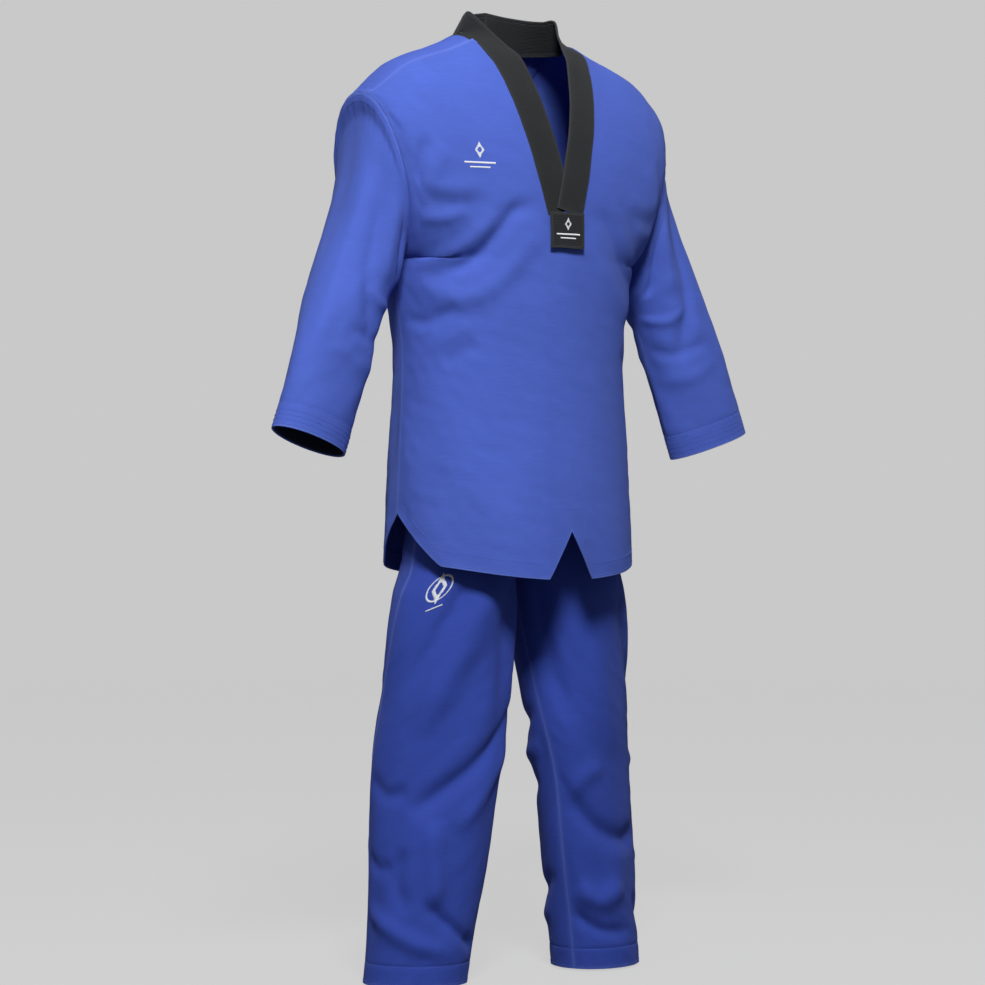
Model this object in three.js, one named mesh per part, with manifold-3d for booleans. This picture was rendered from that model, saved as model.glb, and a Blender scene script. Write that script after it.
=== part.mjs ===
// Taekwondo-style V-neck uniform, as worn: a pull-over jacket and wide trousers.
// Millimetres, +Z up, front towards -Y, the wearer's left towards +X. Heights are above the
// trouser hems; the whole group is then lowered so that its origin is the middle of the neck.
import * as THREE from 'three';
import { mergeVertices } from 'three/addons/utils/BufferGeometryUtils.js';
import Module from 'manifold-3d';

const wasm = await Module();
wasm.setup();

// ---------- cloth and clearances ----------
const CLOTH = 2;            // thickness of one cloth panel
const TRIM = 1.2;           // thickness of facings, tacks and the lapel patch
const THREAD = 0.8;         // height of the embroidery
const GAP = 0.3;            // clearance between pieces that are sewn or laid together

// ---------- jacket ----------
const NECK_HEIGHT = 1360;
const HEM_HEIGHT = 576;
const SLIT_HEIGHT = 104;          // side slits, hem to top
const HEM_HALF_WIDTH = 196;
const HEM_FRONT_DEPTH = 158;
const HEM_BACK_DEPTH = 140;
const WAIST_LINE = 890;           // height where the jacket is narrowest
const WAIST_LINE_HALF_WIDTH = 184;
const CHEST_FRONT_DEPTH = 140;
const CHEST_BACK_DEPTH = 118;
const SHOULDER_PEAK = 1400;       // where the two shoulder slopes would meet
const SHOULDER_CURVE = 1.2;
const CORNER_CUT = 84;            // slanted corners of the tails beside the slits
const HEM_FACING = 24;
const NOTCH_HALF_WIDTH = 38;
const NOTCH_HEIGHT = 69;

// ---------- armholes and sleeves ----------
const ARMHOLE_RADIUS = 120;
const ARMHOLE_OUT = 230;          // armhole centre, from the middle of the body
const ARMHOLE_HEIGHT = 1150;
const ARMHOLE_LEAN = 14;          // degrees, the armhole leans in under the arm
const SLEEVE_LENGTH = 401;
const SLEEVE_ANGLE = 19;          // degrees out from hanging straight down
const CUFF_HALF_WIDTH = 54;
const CUFF_HALF_DEPTH = 42;
const CUFF_FACING = 36;

// ---------- collar and V neck ----------
const BAND_WIDTH = 45;
const BAND_THICKNESS = 3;
const BAND_LAYER = 0.7;           // one cloth layer of the band, around its interlining
const NECK_HALF_WIDTH = 108;
const NECK_HALF_DEPTH = 65;
const NECK_EASE = 3;              // the V is cut this much wider at the top of the shoulder
const V_BOTTOM = 1108;
const V_BOTTOM_HALF_WIDTH = 30;
const STAND_BASE = 1345;
const STAND_TOP = 1400;
const STAND_LEAN = 26;            // how far the stand leans in towards the neck
const OVERLAP_RISE = 3.6;         // how far the left band lies over the right one
const PATCH_HEIGHT = 52;

// ---------- trousers ----------
const TROUSER_TOP = 985;
const TROUSER_TOP_HALF_WIDTH = 150;
const TROUSER_TOP_HALF_DEPTH = 100;
const WAISTBAND_HEIGHT = 42;
const WAISTBAND_THICKNESS = 5;
const WAISTBAND_LAYER = 1;
const HIP_PIVOT = 710;            // height of the leg's swing axis
const HIP_RADIUS = 112;           // the leg top is cut round about that axis
const HIP_CLEARANCE = 1.3;        // the leg tops are cut in flats, which dip into the round
const LEG_TOP_OUT = 88;
const LEG_TOP_HALF = 84;
const LEG_TOP_FORWARD = 8;
const THIGH_HEIGHT = 440;
const THIGH_OUT = 112;
const THIGH_HALF_WIDTH = 98;
const THIGH_HALF_DEPTH = 64;
const KNEE_FORWARD = 28;
const LEG_HEM_OUT = 163;
const LEG_HEM_HALF_WIDTH = 74;
const LEG_HEM_HALF_DEPTH = 63;
const TOE_OUT = 28;               // degrees, how far the flat of each leg turns outwards
const LEG_HEM_FACING = 30;
const GUSSET_WIDTH = 70;
const GUSSET_TURN = 20;           // degrees about the hip axis, from its middle to each end
const LEG_CELLS = 8;              // grid columns across each half of a leg

// ---------- colours ----------
const BLUE = { color: 0x3c50b4, roughness: 0.85, metalness: 0 };
const DEEP_BLUE = { color: 0x3548a8, roughness: 0.85, metalness: 0 };
const BLACK = { color: 0x2b2c2d, roughness: 0.9, metalness: 0 };
const WHITE = { color: 0xd8dae6, roughness: 0.7, metalness: 0 };
const CANVAS = { color: 0xcfcac0, roughness: 0.95, metalness: 0 };
const ELASTIC = { color: 0xe6e4de, roughness: 0.8, metalness: 0 };

const RIGHT = -1;
const LEFT = 1;
const FRONT = -1;
const BACK = 1;
const radians = THREE.MathUtils.degToRad;
const lerp = THREE.MathUtils.lerp;
const ease = THREE.MathUtils.smoothstep;

const group = new THREE.Group();
group.position.z = -NECK_HEIGHT;

// ================= cloth panels =================
// A surface is a function (u, v) -> Vector3 whose du x dv points out of the garment.

function surfaceNormal(surface, u, v) {
  const step = 1e-3;
  const along = surface(u + step, v).sub(surface(u - step, v));
  const up = surface(u, v + step).sub(surface(u, v - step));
  return along.cross(up).normalize();
}

// Evenly spaced grid lines from one value to another.
function steps(from, to, count) {
  return Array.from({ length: count + 1 }, (_, i) => lerp(from, to, i / count));
}

// The grid lines of a larger piece that fall between two edges, so that a facing folds
// where the piece under it folds.
function within(lines, from, to) {
  return [from, ...lines.filter((value) => value > from + 1e-6 && value < to - 1e-6), to];
}

// Splits the cells of a box's back face along the same diagonals as those of its front
// face, so that a sheet bent from the box keeps its thickness where it twists.
function matchDiagonals(box) {
  const back = box.groups[5];
  const order = box.index.array;
  for (let k = back.start; k < back.start + back.count; k += 6) {
    const [a, b, d, , c] = order.slice(k, k + 5);
    order.set([a, b, c, a, c, d], k);
  }
}

// A closed sheet of the given thickness that follows a surface, with its grid lines at us
// and vs. The snaps finish its edges, so that they lie exactly in the seams.
function sheet(surface, { us, vs, thickness, offset = 0, snaps = {} }) {
  const last = [us.length - 1, vs.length - 1];
  const geometry = new THREE.BoxGeometry(1, 1, 1, last[0], last[1], 1);
  geometry.deleteAttribute('normal');
  geometry.deleteAttribute('uv');
  matchDiagonals(geometry);
  const corners = geometry.attributes.position;
  const cell = new THREE.Vector3();
  for (let i = 0; i < corners.count; i += 1) {
    cell.fromBufferAttribute(corners, i);
    const column = Math.round((cell.x + 0.5) * last[0]);
    const row = Math.round((cell.y + 0.5) * last[1]);
    const rise = offset + cell.z * thickness;
    const point = surface(us[column], vs[row]);
    point.addScaledVector(surfaceNormal(surface, us[column], vs[row]), rise);
    if (column === 0) snaps.uLow?.(point, rise);
    if (column === last[0]) snaps.uHigh?.(point, rise);
    if (row === 0) snaps.vLow?.(point, rise);
    if (row === last[1]) snaps.vHigh?.(point, rise);
    corners.setXYZ(i, point.x, point.y, point.z);
  }
  return mergeVertices(geometry, 1e-4);
}

function piece(name, geometry, look) {
  geometry.computeVertexNormals();
  const mesh = new THREE.Mesh(geometry, new THREE.MeshStandardMaterial(look));
  mesh.name = name;
  group.add(mesh);
}

const mirrored = (surface) => (u, v) => {
  const point = surface(-u, v);
  point.x = -point.x;
  return point;
};

function toSolid(geometry) {
  return new wasm.Manifold(new wasm.Mesh({
    numProp: 3,
    vertProperties: Float32Array.from(geometry.attributes.position.array),
    triVerts: Uint32Array.from(geometry.index.array),
  }));
}

function cut(geometry, ...tools) {
  const solid = tools.reduce((body, tool) => body.subtract(toSolid(tool)), toSolid(geometry));
  const mesh = solid.getMesh();
  const result = new THREE.BufferGeometry();
  result.setAttribute('position', new THREE.BufferAttribute(Float32Array.from(mesh.vertProperties), 3));
  result.setIndex(new THREE.BufferAttribute(Uint32Array.from(mesh.triVerts), 1));
  return result;
}

// A prism of an outline [[a, b], ...]: across the body from the side (a = y, b = z) or
// through it from the front (a = x, b = z).
function prism(outline, direction, length, start) {
  const shape = new THREE.Shape(outline.map(([a, b]) => new THREE.Vector2(a, b)));
  const geometry = new THREE.ExtrudeGeometry(shape, { depth: length, bevelEnabled: false });
  if (direction === 'side') {
    geometry.applyMatrix4(new THREE.Matrix4().set(0, 0, 1, start, 1, 0, 0, 0, 0, 1, 0, 0, 0, 0, 0, 1));
  } else {
    geometry.applyMatrix4(new THREE.Matrix4().set(1, 0, 0, 0, 0, 0, -1, -start, 0, 1, 0, 0, 0, 0, 0, 1));
  }
  geometry.deleteAttribute('normal');
  geometry.deleteAttribute('uv');
  return mergeVertices(geometry, 1e-4);
}

// ================= jacket body =================

const armholeLean = radians(ARMHOLE_LEAN);
const armholeUp = new THREE.Vector3(Math.sin(armholeLean), 0, Math.cos(armholeLean));
const armholeOut = new THREE.Vector3(Math.cos(armholeLean), 0, -Math.sin(armholeLean));
const armholeCentre = new THREE.Vector3(ARMHOLE_OUT, 0, ARMHOLE_HEIGHT);
const ARMPIT_HEIGHT = ARMHOLE_HEIGHT - ARMHOLE_RADIUS * armholeUp.z;
const ARMPIT_OUT = ARMHOLE_OUT - ARMHOLE_RADIUS * armholeUp.x;
const SLIT_TOP = HEM_HEIGHT + SLIT_HEIGHT;
const rowAt = (height) => (height - HEM_HEIGHT) / (ARMPIT_HEIGHT - HEM_HEIGHT);
const SLIT_ROW = rowAt(SLIT_TOP);

// Values at the hem, the waist line and the armpit, joined smoothly.
function bodyProfile(height, hem, waist, armpit) {
  if (height < WAIST_LINE) return lerp(hem, waist, ease(height, HEM_HEIGHT, WAIST_LINE));
  return lerp(waist, armpit, ease(height, WAIST_LINE, ARMPIT_HEIGHT));
}

function armholePoint(side, turn) {
  return armholeCentre.clone()
    .addScaledVector(armholeUp, -ARMHOLE_RADIUS * Math.cos(turn))
    .add(new THREE.Vector3(0, side * ARMHOLE_RADIUS * Math.sin(turn), 0));
}

// One side of the jacket body. u runs across from -1 to 1 seam to seam; v is 0 at the hem,
// 1 at the armpit and 2 at the shoulder line.
function bodySurface(side) {
  const hemDepth = side === FRONT ? HEM_FRONT_DEPTH : HEM_BACK_DEPTH;
  const chestDepth = side === FRONT ? CHEST_FRONT_DEPTH : CHEST_BACK_DEPTH;
  return (u, v) => {
    const angle = -side * u * Math.PI / 2;
    const across = Math.sin(angle);
    if (v <= 1) {
      const height = lerp(HEM_HEIGHT, ARMPIT_HEIGHT, v);
      const halfWidth = bodyProfile(height, HEM_HALF_WIDTH, WAIST_LINE_HALF_WIDTH, ARMPIT_OUT);
      const depth = bodyProfile(height, hemDepth, chestDepth, chestDepth);
      return new THREE.Vector3(halfWidth * across, side * depth * Math.cos(angle), height);
    }
    const rise = v - 1;
    const edge = armholePoint(side, rise * Math.PI);
    const peak = lerp(ARMPIT_HEIGHT, SHOULDER_PEAK, rise);
    const depth = side * chestDepth * Math.sqrt(Math.max(0, 1 - rise ** 2.6));
    const y = edge.y + (depth - edge.y) * Math.cos(angle);
    const z = lerp(peak, edge.z, Math.abs(across) ** SHOULDER_CURVE);
    return new THREE.Vector3(edge.x * across, y, z);
  };
}

const frontSurface = bodySurface(FRONT);
const backSurface = bodySurface(BACK);

// A panel's side edge: along the side seam below the arm, and round the armhole above it,
// where the cloth's two faces are rings in the armhole's plane.
const onSideSeam = (side) => (point, rise) => {
  if (point.z < ARMPIT_HEIGHT - CLOTH) {
    point.y = side * GAP / 2;
    return;
  }
  const mirror = new THREE.Vector3(Math.sign(point.x), 1, 1);
  const centre = armholeCentre.clone().multiply(mirror);
  const out = armholeOut.clone().multiply(mirror);
  const spoke = point.clone().sub(centre).projectOnPlane(out).setLength(ARMHOLE_RADIUS + rise);
  point.copy(centre).add(spoke).addScaledVector(out, -GAP / 2);
  point.y = side * Math.max(side * point.y, GAP / 2);
};
const onHeight = (height) => (point) => { point.z = height; };
const onShoulder = (side) => (point) => { point.y = side * GAP / 2; };

const seamLine = (height) => V_BOTTOM_HALF_WIDTH
  + (height - V_BOTTOM) * (NECK_HALF_WIDTH - V_BOTTOM_HALF_WIDTH) / (NECK_HEIGHT - V_BOTTOM);

function neckHole() {
  const hole = new THREE.CylinderGeometry(1, 1, 400, 40, 1);
  hole.rotateX(Math.PI / 2);
  hole.scale(NECK_HALF_WIDTH, NECK_HALF_DEPTH, 1);
  hole.translate(0, 0, NECK_HEIGHT);
  hole.deleteAttribute('normal');
  hole.deleteAttribute('uv');
  return mergeVertices(hole, 1e-4);
}

function vOpening() {
  const top = SHOULDER_PEAK + 40;
  const outline = [
    [-V_BOTTOM_HALF_WIDTH - GAP, V_BOTTOM - GAP],
    [V_BOTTOM_HALF_WIDTH + GAP, V_BOTTOM - GAP],
    [seamLine(top) + NECK_EASE, top],
    [-seamLine(top) - NECK_EASE, top],
  ];
  return prism(outline, 'front', 300, 0);
}

const bodyColumns = steps(-1, 1, 14);

function bodyPanels() {
  const seams = (side) => ({
    uLow: onSideSeam(side),
    uHigh: onSideSeam(side),
    vLow: onHeight(SLIT_TOP + GAP / 2),
    vHigh: onShoulder(side),
  });
  const rows = [...steps(SLIT_ROW, 1, 5), ...steps(1, 2, 8).slice(1)];
  const shape = { us: bodyColumns, vs: rows, thickness: CLOTH };
  const front = sheet(frontSurface, { ...shape, snaps: seams(FRONT) });
  const back = sheet(backSurface, { ...shape, snaps: seams(BACK) });
  piece('front_panel', cut(front, vOpening(), neckHole()), BLUE);
  piece('back_panel', cut(back, neckHole()), BLUE);
}

// ================= jacket tails =================

function cornerCuts(side) {
  const low = HEM_HEIGHT - 10;
  const high = SLIT_TOP - (SLIT_HEIGHT - CORNER_CUT) / 2;
  const outline = [[side * -1, high], [side * -1, low], [side * CORNER_CUT, low]];
  return prism(outline, 'side', 3 * HEM_HALF_WIDTH, -1.5 * HEM_HALF_WIDTH);
}

function notch() {
  const low = HEM_HEIGHT - 10;
  const halfWidth = NOTCH_HALF_WIDTH * (NOTCH_HEIGHT + 10) / NOTCH_HEIGHT;
  return prism([[-halfWidth, low], [halfWidth, low], [0, HEM_HEIGHT + NOTCH_HEIGHT]], 'front', 300, 0);
}

const tailColumns = steps(-1, 1, 24);

function tails() {
  const rows = [0, rowAt(HEM_HEIGHT + HEM_FACING), rowAt(HEM_HEIGHT + NOTCH_HEIGHT), SLIT_ROW];
  const shape = { us: tailColumns, vs: rows, thickness: CLOTH };
  const snaps = (side) => ({
    uLow: onSideSeam(side),
    uHigh: onSideSeam(side),
    vLow: onHeight(HEM_HEIGHT),
    vHigh: onHeight(SLIT_TOP - GAP / 2),
  });
  const front = sheet(frontSurface, { ...shape, snaps: snaps(FRONT) });
  const back = sheet(backSurface, { ...shape, snaps: snaps(BACK) });
  piece('front_tail', cut(front, cornerCuts(FRONT), notch()), BLUE);
  piece('back_tail', cut(back, cornerCuts(BACK)), BLUE);
}

// Facings and tacks lie against a panel's inner or outer face.
const inside = (thickness) => -CLOTH / 2 - GAP - thickness / 2;
const outside = (thickness) => CLOTH / 2 + GAP + thickness / 2;

function tailFacings() {
  const rows = [0.001, rowAt(HEM_HEIGHT + HEM_FACING)];
  const facing = (name, surface, from, to) => {
    const us = within(tailColumns, from, to);
    piece(name, sheet(surface, { us, vs: rows, thickness: TRIM, offset: inside(TRIM) }), DEEP_BLUE);
  };
  const notchSide = 3 / 12;
  const cornerSide = 7 / 12;
  facing('right_front_hem_facing', frontSurface, -cornerSide, -notchSide);
  facing('left_front_hem_facing', frontSurface, notchSide, cornerSide);
  facing('back_hem_facing', backSurface, -cornerSide, cornerSide);
  piece('notch_facing', sheet(frontSurface, {
    us: within(tailColumns, -1 / 12, 1 / 12),
    vs: [rowAt(HEM_HEIGHT + NOTCH_HEIGHT + 2), rowAt(SLIT_TOP - 2)],
    thickness: TRIM,
    offset: inside(TRIM),
  }), DEEP_BLUE);
}

function slitTacks() {
  const half = 9;
  const tackSurface = (u, v) => {
    const halfWidth = bodyProfile(v, HEM_HALF_WIDTH, WAIST_LINE_HALF_WIDTH, ARMPIT_OUT);
    const depth = bodyProfile(v, HEM_BACK_DEPTH, CHEST_BACK_DEPTH, CHEST_BACK_DEPTH);
    const angle = u / depth;
    return new THREE.Vector3(halfWidth * Math.cos(angle), depth * Math.sin(angle), v);
  };
  const shape = {
    us: [-half, 0, half],
    vs: [SLIT_TOP + 2, SLIT_TOP + 2 + 2 * half],
    thickness: TRIM,
    offset: inside(TRIM) - 4 * GAP,
  };
  piece('left_slit_tack', sheet(tackSurface, shape), DEEP_BLUE);
  piece('right_slit_tack', sheet(mirrored(tackSurface), shape), DEEP_BLUE);
}

// ================= sleeves =================

const sleeveAngle = radians(SLEEVE_ANGLE);
const sleeveDown = new THREE.Vector3(Math.sin(sleeveAngle), 0, -Math.cos(sleeveAngle));

// The left sleeve: u turns about the arm from the underarm seam, in half turns; v is 0 at
// the cuff and 1 in the armhole.
function sleeveSurface(u, v) {
  const settle = ease(v, 0.45, 1);
  const centre = armholeCentre.clone().addScaledVector(sleeveDown, SLEEVE_LENGTH * (1 - v));
  const tilt = lerp(sleeveAngle, Math.PI / 2 - armholeLean, settle);
  const halfWidth = lerp(CUFF_HALF_WIDTH, ARMHOLE_RADIUS, settle ** 1.5);
  const halfDepth = lerp(CUFF_HALF_DEPTH, ARMHOLE_RADIUS, ease(v, 0, 1) ** 1.3);
  const turn = u * Math.PI;
  return centre
    .addScaledVector(new THREE.Vector3(Math.cos(tilt), 0, Math.sin(tilt)), halfWidth * Math.cos(turn))
    .add(new THREE.Vector3(0, halfDepth * Math.sin(turn), 0));
}

function onPlane(origin, normal) {
  return (point) => {
    point.addScaledVector(normal, -point.clone().sub(origin).dot(normal));
  };
}

function sleeves() {
  const seam = 1 - 0.001;
  const armholeFace = armholeCentre.clone().addScaledVector(armholeOut, GAP / 2);
  const cuffFace = armholeCentre.clone().addScaledVector(sleeveDown, SLEEVE_LENGTH);
  const mirror = new THREE.Vector3(-1, 1, 1);
  const around = [-seam, ...steps(-1, 1, 16).slice(1, -1), seam];
  const along = steps(0, 1, 8);
  for (const [side, label] of [[LEFT, 'left'], [RIGHT, 'right']]) {
    const surface = side === LEFT ? sleeveSurface : mirrored(sleeveSurface);
    const place = (vector) => (side === LEFT ? vector.clone() : vector.clone().multiply(mirror));
    piece(`${label}_sleeve`, sheet(surface, {
      us: around,
      vs: along,
      thickness: CLOTH,
      snaps: {
        vLow: onPlane(place(cuffFace), place(sleeveDown)),
        vHigh: onPlane(place(armholeFace), place(armholeOut)),
      },
    }), BLUE);
    piece(`${label}_cuff_facing`, sheet(surface, {
      us: around,
      vs: [0.004, CUFF_FACING / SLEEVE_LENGTH],
      thickness: TRIM,
      offset: inside(TRIM),
    }), DEEP_BLUE);
  }
}

// ================= collar band =================

// The point of the front surface at a given x and height above the armpit.
function frontAt(x, height) {
  let low = 1;
  let high = 2;
  for (let i = 0; i < 40; i += 1) {
    const v = (low + high) / 2;
    const reach = armholePoint(FRONT, (v - 1) * Math.PI).x;
    const u = Math.asin(THREE.MathUtils.clamp(x / reach, -1, 1)) * 2 / Math.PI;
    if (frontSurface(u, v).z < height) low = v;
    else high = v;
  }
  const reach = armholePoint(FRONT, (low - 1) * Math.PI).x;
  return frontSurface(Math.asin(x / reach) * 2 / Math.PI, low);
}

const bandSlope = Math.atan((NECK_HALF_WIDTH - V_BOTTOM_HALF_WIDTH) / (NECK_HEIGHT - V_BOTTOM));

// Edges of the left band from the centre back, round the neck and down the V to its end.
function bandEdges() {
  const seamEdge = [];
  const freeEdge = [];
  const inset = BAND_THICKNESS / 2 + GAP;
  for (let i = 0; i <= 4; i += 1) {
    const turn = i * Math.PI / 8;
    const across = Math.sin(turn);
    const along = Math.cos(turn);
    seamEdge.push(new THREE.Vector3(
      (NECK_HALF_WIDTH - inset) * across,
      (NECK_HALF_DEPTH - inset) * along,
      STAND_BASE,
    ));
    freeEdge.push(new THREE.Vector3(
      (NECK_HALF_WIDTH - STAND_LEAN - inset) * across,
      (NECK_HALF_DEPTH - STAND_LEAN / 2) * along - 14 * across,
      STAND_TOP - 14 * across,
    ));
  }
  for (let i = 1; i <= 6; i += 1) {
    const height = lerp(STAND_BASE, V_BOTTOM, i / 6) + 4;
    const x = seamLine(height) - 3 * GAP;
    seamEdge.push(frontAt(x, height));
    const freeX = x - BAND_WIDTH * Math.cos(bandSlope);
    const freeZ = height + BAND_WIDTH * Math.sin(bandSlope);
    freeEdge.push(frontAt(freeX, Math.min(freeZ, SHOULDER_PEAK - 25)));
  }
  return [new THREE.CatmullRomCurve3(seamEdge), new THREE.CatmullRomCurve3(freeEdge)];
}

const [bandSeam, bandFree] = bandEdges();

// The left band: u runs from the centre back (0) to the end in front (1), v from the free
// edge (0) to the seam (1). It rises over the other band where the two cross.
function bandSurface(rise) {
  return (u, v) => {
    const t = THREE.MathUtils.clamp(u, 0, 1);
    const point = bandFree.getPoint(t).lerp(bandSeam.getPoint(t), v);
    point.y -= rise * ease(t, 0.6, 0.78);
    return point;
  };
}

function collar() {
  const centreBack = (side) => (point) => { point.x = side * GAP / 2; };
  const columns = steps(0, 1, 18);
  const ends = (inset) => within(columns, inset, 1 - inset);
  const core = { us: ends(0.02), vs: [0.075, 0.5, 0.94] };
  for (const [side, label, rise] of [[LEFT, 'left', OVERLAP_RISE], [RIGHT, 'right', 0]]) {
    const left = bandSurface(rise);
    const surface = side === LEFT ? left : (u, v) => mirrored(left)(u - 1, v);
    const band = sheet(surface, {
      us: ends(0.001),
      vs: [0, 0.5, 1],
      thickness: BAND_THICKNESS,
      snaps: side === LEFT ? { uLow: centreBack(LEFT) } : { uHigh: centreBack(RIGHT) },
    });
    const channel = BAND_THICKNESS - 2 * BAND_LAYER;
    const slot = sheet(surface, {
      us: [0.012, ...core.us, 0.988],
      vs: [0.06, ...core.vs, 1.2],
      thickness: channel,
    });
    piece(`${label}_collar_band`, cut(band, slot), BLACK);
    piece(`${label}_collar_interlining`, sheet(surface, { ...core, thickness: channel - 2 * GAP }), CANVAS);
  }
}

// ================= patch and embroidery =================

function outlineSheet([left, right, low, high], surface, thickness, offset) {
  return sheet(surface, { us: steps(left, right, 3), vs: steps(low, high, 2), thickness, offset });
}

// A flat map of the front: u is x and v is the height, both in millimetres.
const frontMap = (u, v) => frontAt(u, v);

function patch() {
  const rise = OVERLAP_RISE + BAND_THICKNESS / 2 + GAP + TRIM / 2;
  const low = V_BOTTOM - PATCH_HEIGHT + 12;
  const high = V_BOTTOM + 12;
  const halfWidth = V_BOTTOM_HALF_WIDTH;
  piece('lapel_patch', outlineSheet([-halfWidth, halfWidth, low, high], frontMap, TRIM, rise), BLACK);
  const emblem = [-10, 10, low + 18, high - 8];
  piece('patch_emblem', outlineSheet(emblem, frontMap, THREAD, rise + TRIM / 2 + GAP + THREAD / 2), WHITE);
}

function chestEmblem() {
  const centre = new THREE.Vector2(-132, 1188);
  const half = new THREE.Vector2(15, 17);
  const area = [centre.x - half.x, centre.x + half.x, centre.y - half.y, centre.y + half.y];
  piece('chest_emblem', outlineSheet(area, frontMap, THREAD, outside(THREAD)), WHITE);
}

// ================= trousers, waist to hips =================

const hipCut = (clearance) => (point) => {
  const radius = HIP_RADIUS + clearance;
  point.z = HIP_PIVOT - Math.sqrt(radius ** 2 - point.y ** 2);
};

// One half of a leg's outline at the hips: part is 0 at the inner seam and 1 at the outer.
function legTopPoint(side, leg, part) {
  const turn = part * Math.PI;
  const x = leg * (LEG_TOP_OUT - LEG_TOP_HALF * Math.cos(turn));
  const y = side * LEG_TOP_HALF * Math.sin(turn) - LEG_TOP_FORWARD;
  return new THREE.Vector3(x, y, HIP_PIVOT - Math.sqrt(HIP_RADIUS ** 2 - y ** 2));
}

const SEAT_TOP = TROUSER_TOP - WAISTBAND_HEIGHT;

// u runs across from -1 to 1, v from the hip cut (0) to the waistband (1).
function seatSurface(side) {
  return (u, v) => {
    const angle = -side * u * Math.PI / 2;
    const leg = Math.sign(angle);
    const waist = new THREE.Vector3(
      TROUSER_TOP_HALF_WIDTH * Math.sin(angle),
      side * TROUSER_TOP_HALF_DEPTH * Math.cos(angle),
      SEAT_TOP,
    );
    const hip = legTopPoint(side, leg, Math.abs(u));
    const settle = ease(v, 0, 0.7);
    const crotch = u === 0 ? side * (CLOTH + GAP) * (1 - settle) : 0;
    return new THREE.Vector3(
      lerp(hip.x, waist.x, settle),
      lerp(hip.y, waist.y, settle) + crotch,
      lerp(hip.z, SEAT_TOP, v),
    );
  };
}

function seat() {
  const sideSeam = (side) => (point) => { point.y += side * GAP / 2; };
  for (const [side, name] of [[FRONT, 'seat_front'], [BACK, 'seat_back']]) {
    const body = sheet(seatSurface(side), {
      us: steps(-1, 1, 2 * LEG_CELLS),
      vs: steps(0, 1, 5),
      thickness: CLOTH,
      snaps: {
        uLow: sideSeam(side),
        uHigh: sideSeam(side),
        vLow: hipCut(-GAP / 2),
        vHigh: onHeight(SEAT_TOP - GAP / 2),
      },
    });
    piece(name, cut(body, gussetStrip(2 * GAP)), DEEP_BLUE);
  }
}

// u turns about the waist from the centre back in half turns; v is the height.
function waistSurface(u, v) {
  const turn = u * Math.PI - Math.PI / 2;
  return new THREE.Vector3(
    TROUSER_TOP_HALF_WIDTH * Math.cos(turn),
    TROUSER_TOP_HALF_DEPTH * Math.sin(turn),
    v,
  );
}

function waistband() {
  const seam = 1 - 0.0004;
  const columns = steps(-1, 1, 24);
  const casing = sheet(waistSurface, {
    us: within(columns, -seam, seam),
    vs: [SEAT_TOP + GAP / 2, TROUSER_TOP],
    thickness: WAISTBAND_THICKNESS,
  });
  const channel = WAISTBAND_THICKNESS - 2 * WAISTBAND_LAYER;
  const slot = sheet(waistSurface, {
    us: within(columns, -0.992, 0.992),
    vs: [SEAT_TOP - 5, TROUSER_TOP - WAISTBAND_LAYER],
    thickness: channel,
  });
  piece('waistband_casing', cut(casing, slot), DEEP_BLUE);
  piece('waist_elastic', sheet(waistSurface, {
    us: within(columns, -0.988, 0.988),
    vs: [SEAT_TOP + CLOTH, TROUSER_TOP - WAISTBAND_LAYER - GAP],
    thickness: channel - 2 * GAP,
  }), ELASTIC);
}

// The gusset is a strip under the crotch, curved about the hip axis above the leg tops. The
// seat is cut back round it, by the same strip with a margin.
function gussetStrip(margin) {
  const radius = HIP_RADIUS - CLOTH / 2 - GAP;
  const halfWidth = GUSSET_WIDTH / 2 + margin;
  const halfTurn = radians(GUSSET_TURN) + margin / radius;
  const strip = (u, v) => new THREE.Vector3(u, -radius * Math.sin(v), HIP_PIVOT - radius * Math.cos(v));
  return sheet(strip, {
    us: steps(-halfWidth, halfWidth, 2),
    vs: steps(-halfTurn, halfTurn, 6),
    thickness: CLOTH + 2 * margin,
    offset: margin / 2,
  });
}

// ================= trouser legs =================

// One half of the left leg. u is -1 to 1 across from seam to seam, v is 0 at the hem and 1
// at the hip cut.
function legSurface(side) {
  return (u, v) => {
    const part = side === FRONT ? (u + 1) / 2 : (1 - u) / 2;
    const top = legTopPoint(side, LEFT, part);
    const height = v * top.z;
    const upper = ease(height, THIGH_HEIGHT * 0.6, top.z);
    const shin = height / THIGH_HEIGHT;
    const halfWidth = lerp(
      lerp(LEG_HEM_HALF_WIDTH, THIGH_HALF_WIDTH, ease(shin, 0, 0.8)), LEG_TOP_HALF, upper,
    );
    const halfDepth = lerp(lerp(LEG_HEM_HALF_DEPTH, THIGH_HALF_DEPTH, ease(shin, 0, 1)), LEG_TOP_HALF, upper);
    const out = height < THIGH_HEIGHT
      ? lerp(LEG_HEM_OUT, THIGH_OUT, shin)
      : lerp(THIGH_OUT, LEG_TOP_OUT, (height - THIGH_HEIGHT) / (top.z - THIGH_HEIGHT));
    const forward = lerp(KNEE_FORWARD * Math.sin(Math.min(shin, 1) * Math.PI / 2), LEG_TOP_FORWARD, upper);
    const twist = radians(TOE_OUT) * (1 - upper);
    const turn = part * Math.PI;
    const wide = -halfWidth * Math.cos(turn);
    const deep = side * halfDepth * Math.sin(turn);
    return new THREE.Vector3(
      out + wide * Math.cos(twist) - deep * Math.sin(twist),
      wide * Math.sin(twist) + deep * Math.cos(twist) - forward,
      height,
    );
  };
}

const legColumns = steps(-1, 1, LEG_CELLS);
const legRows = steps(0, 1, 10);

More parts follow.
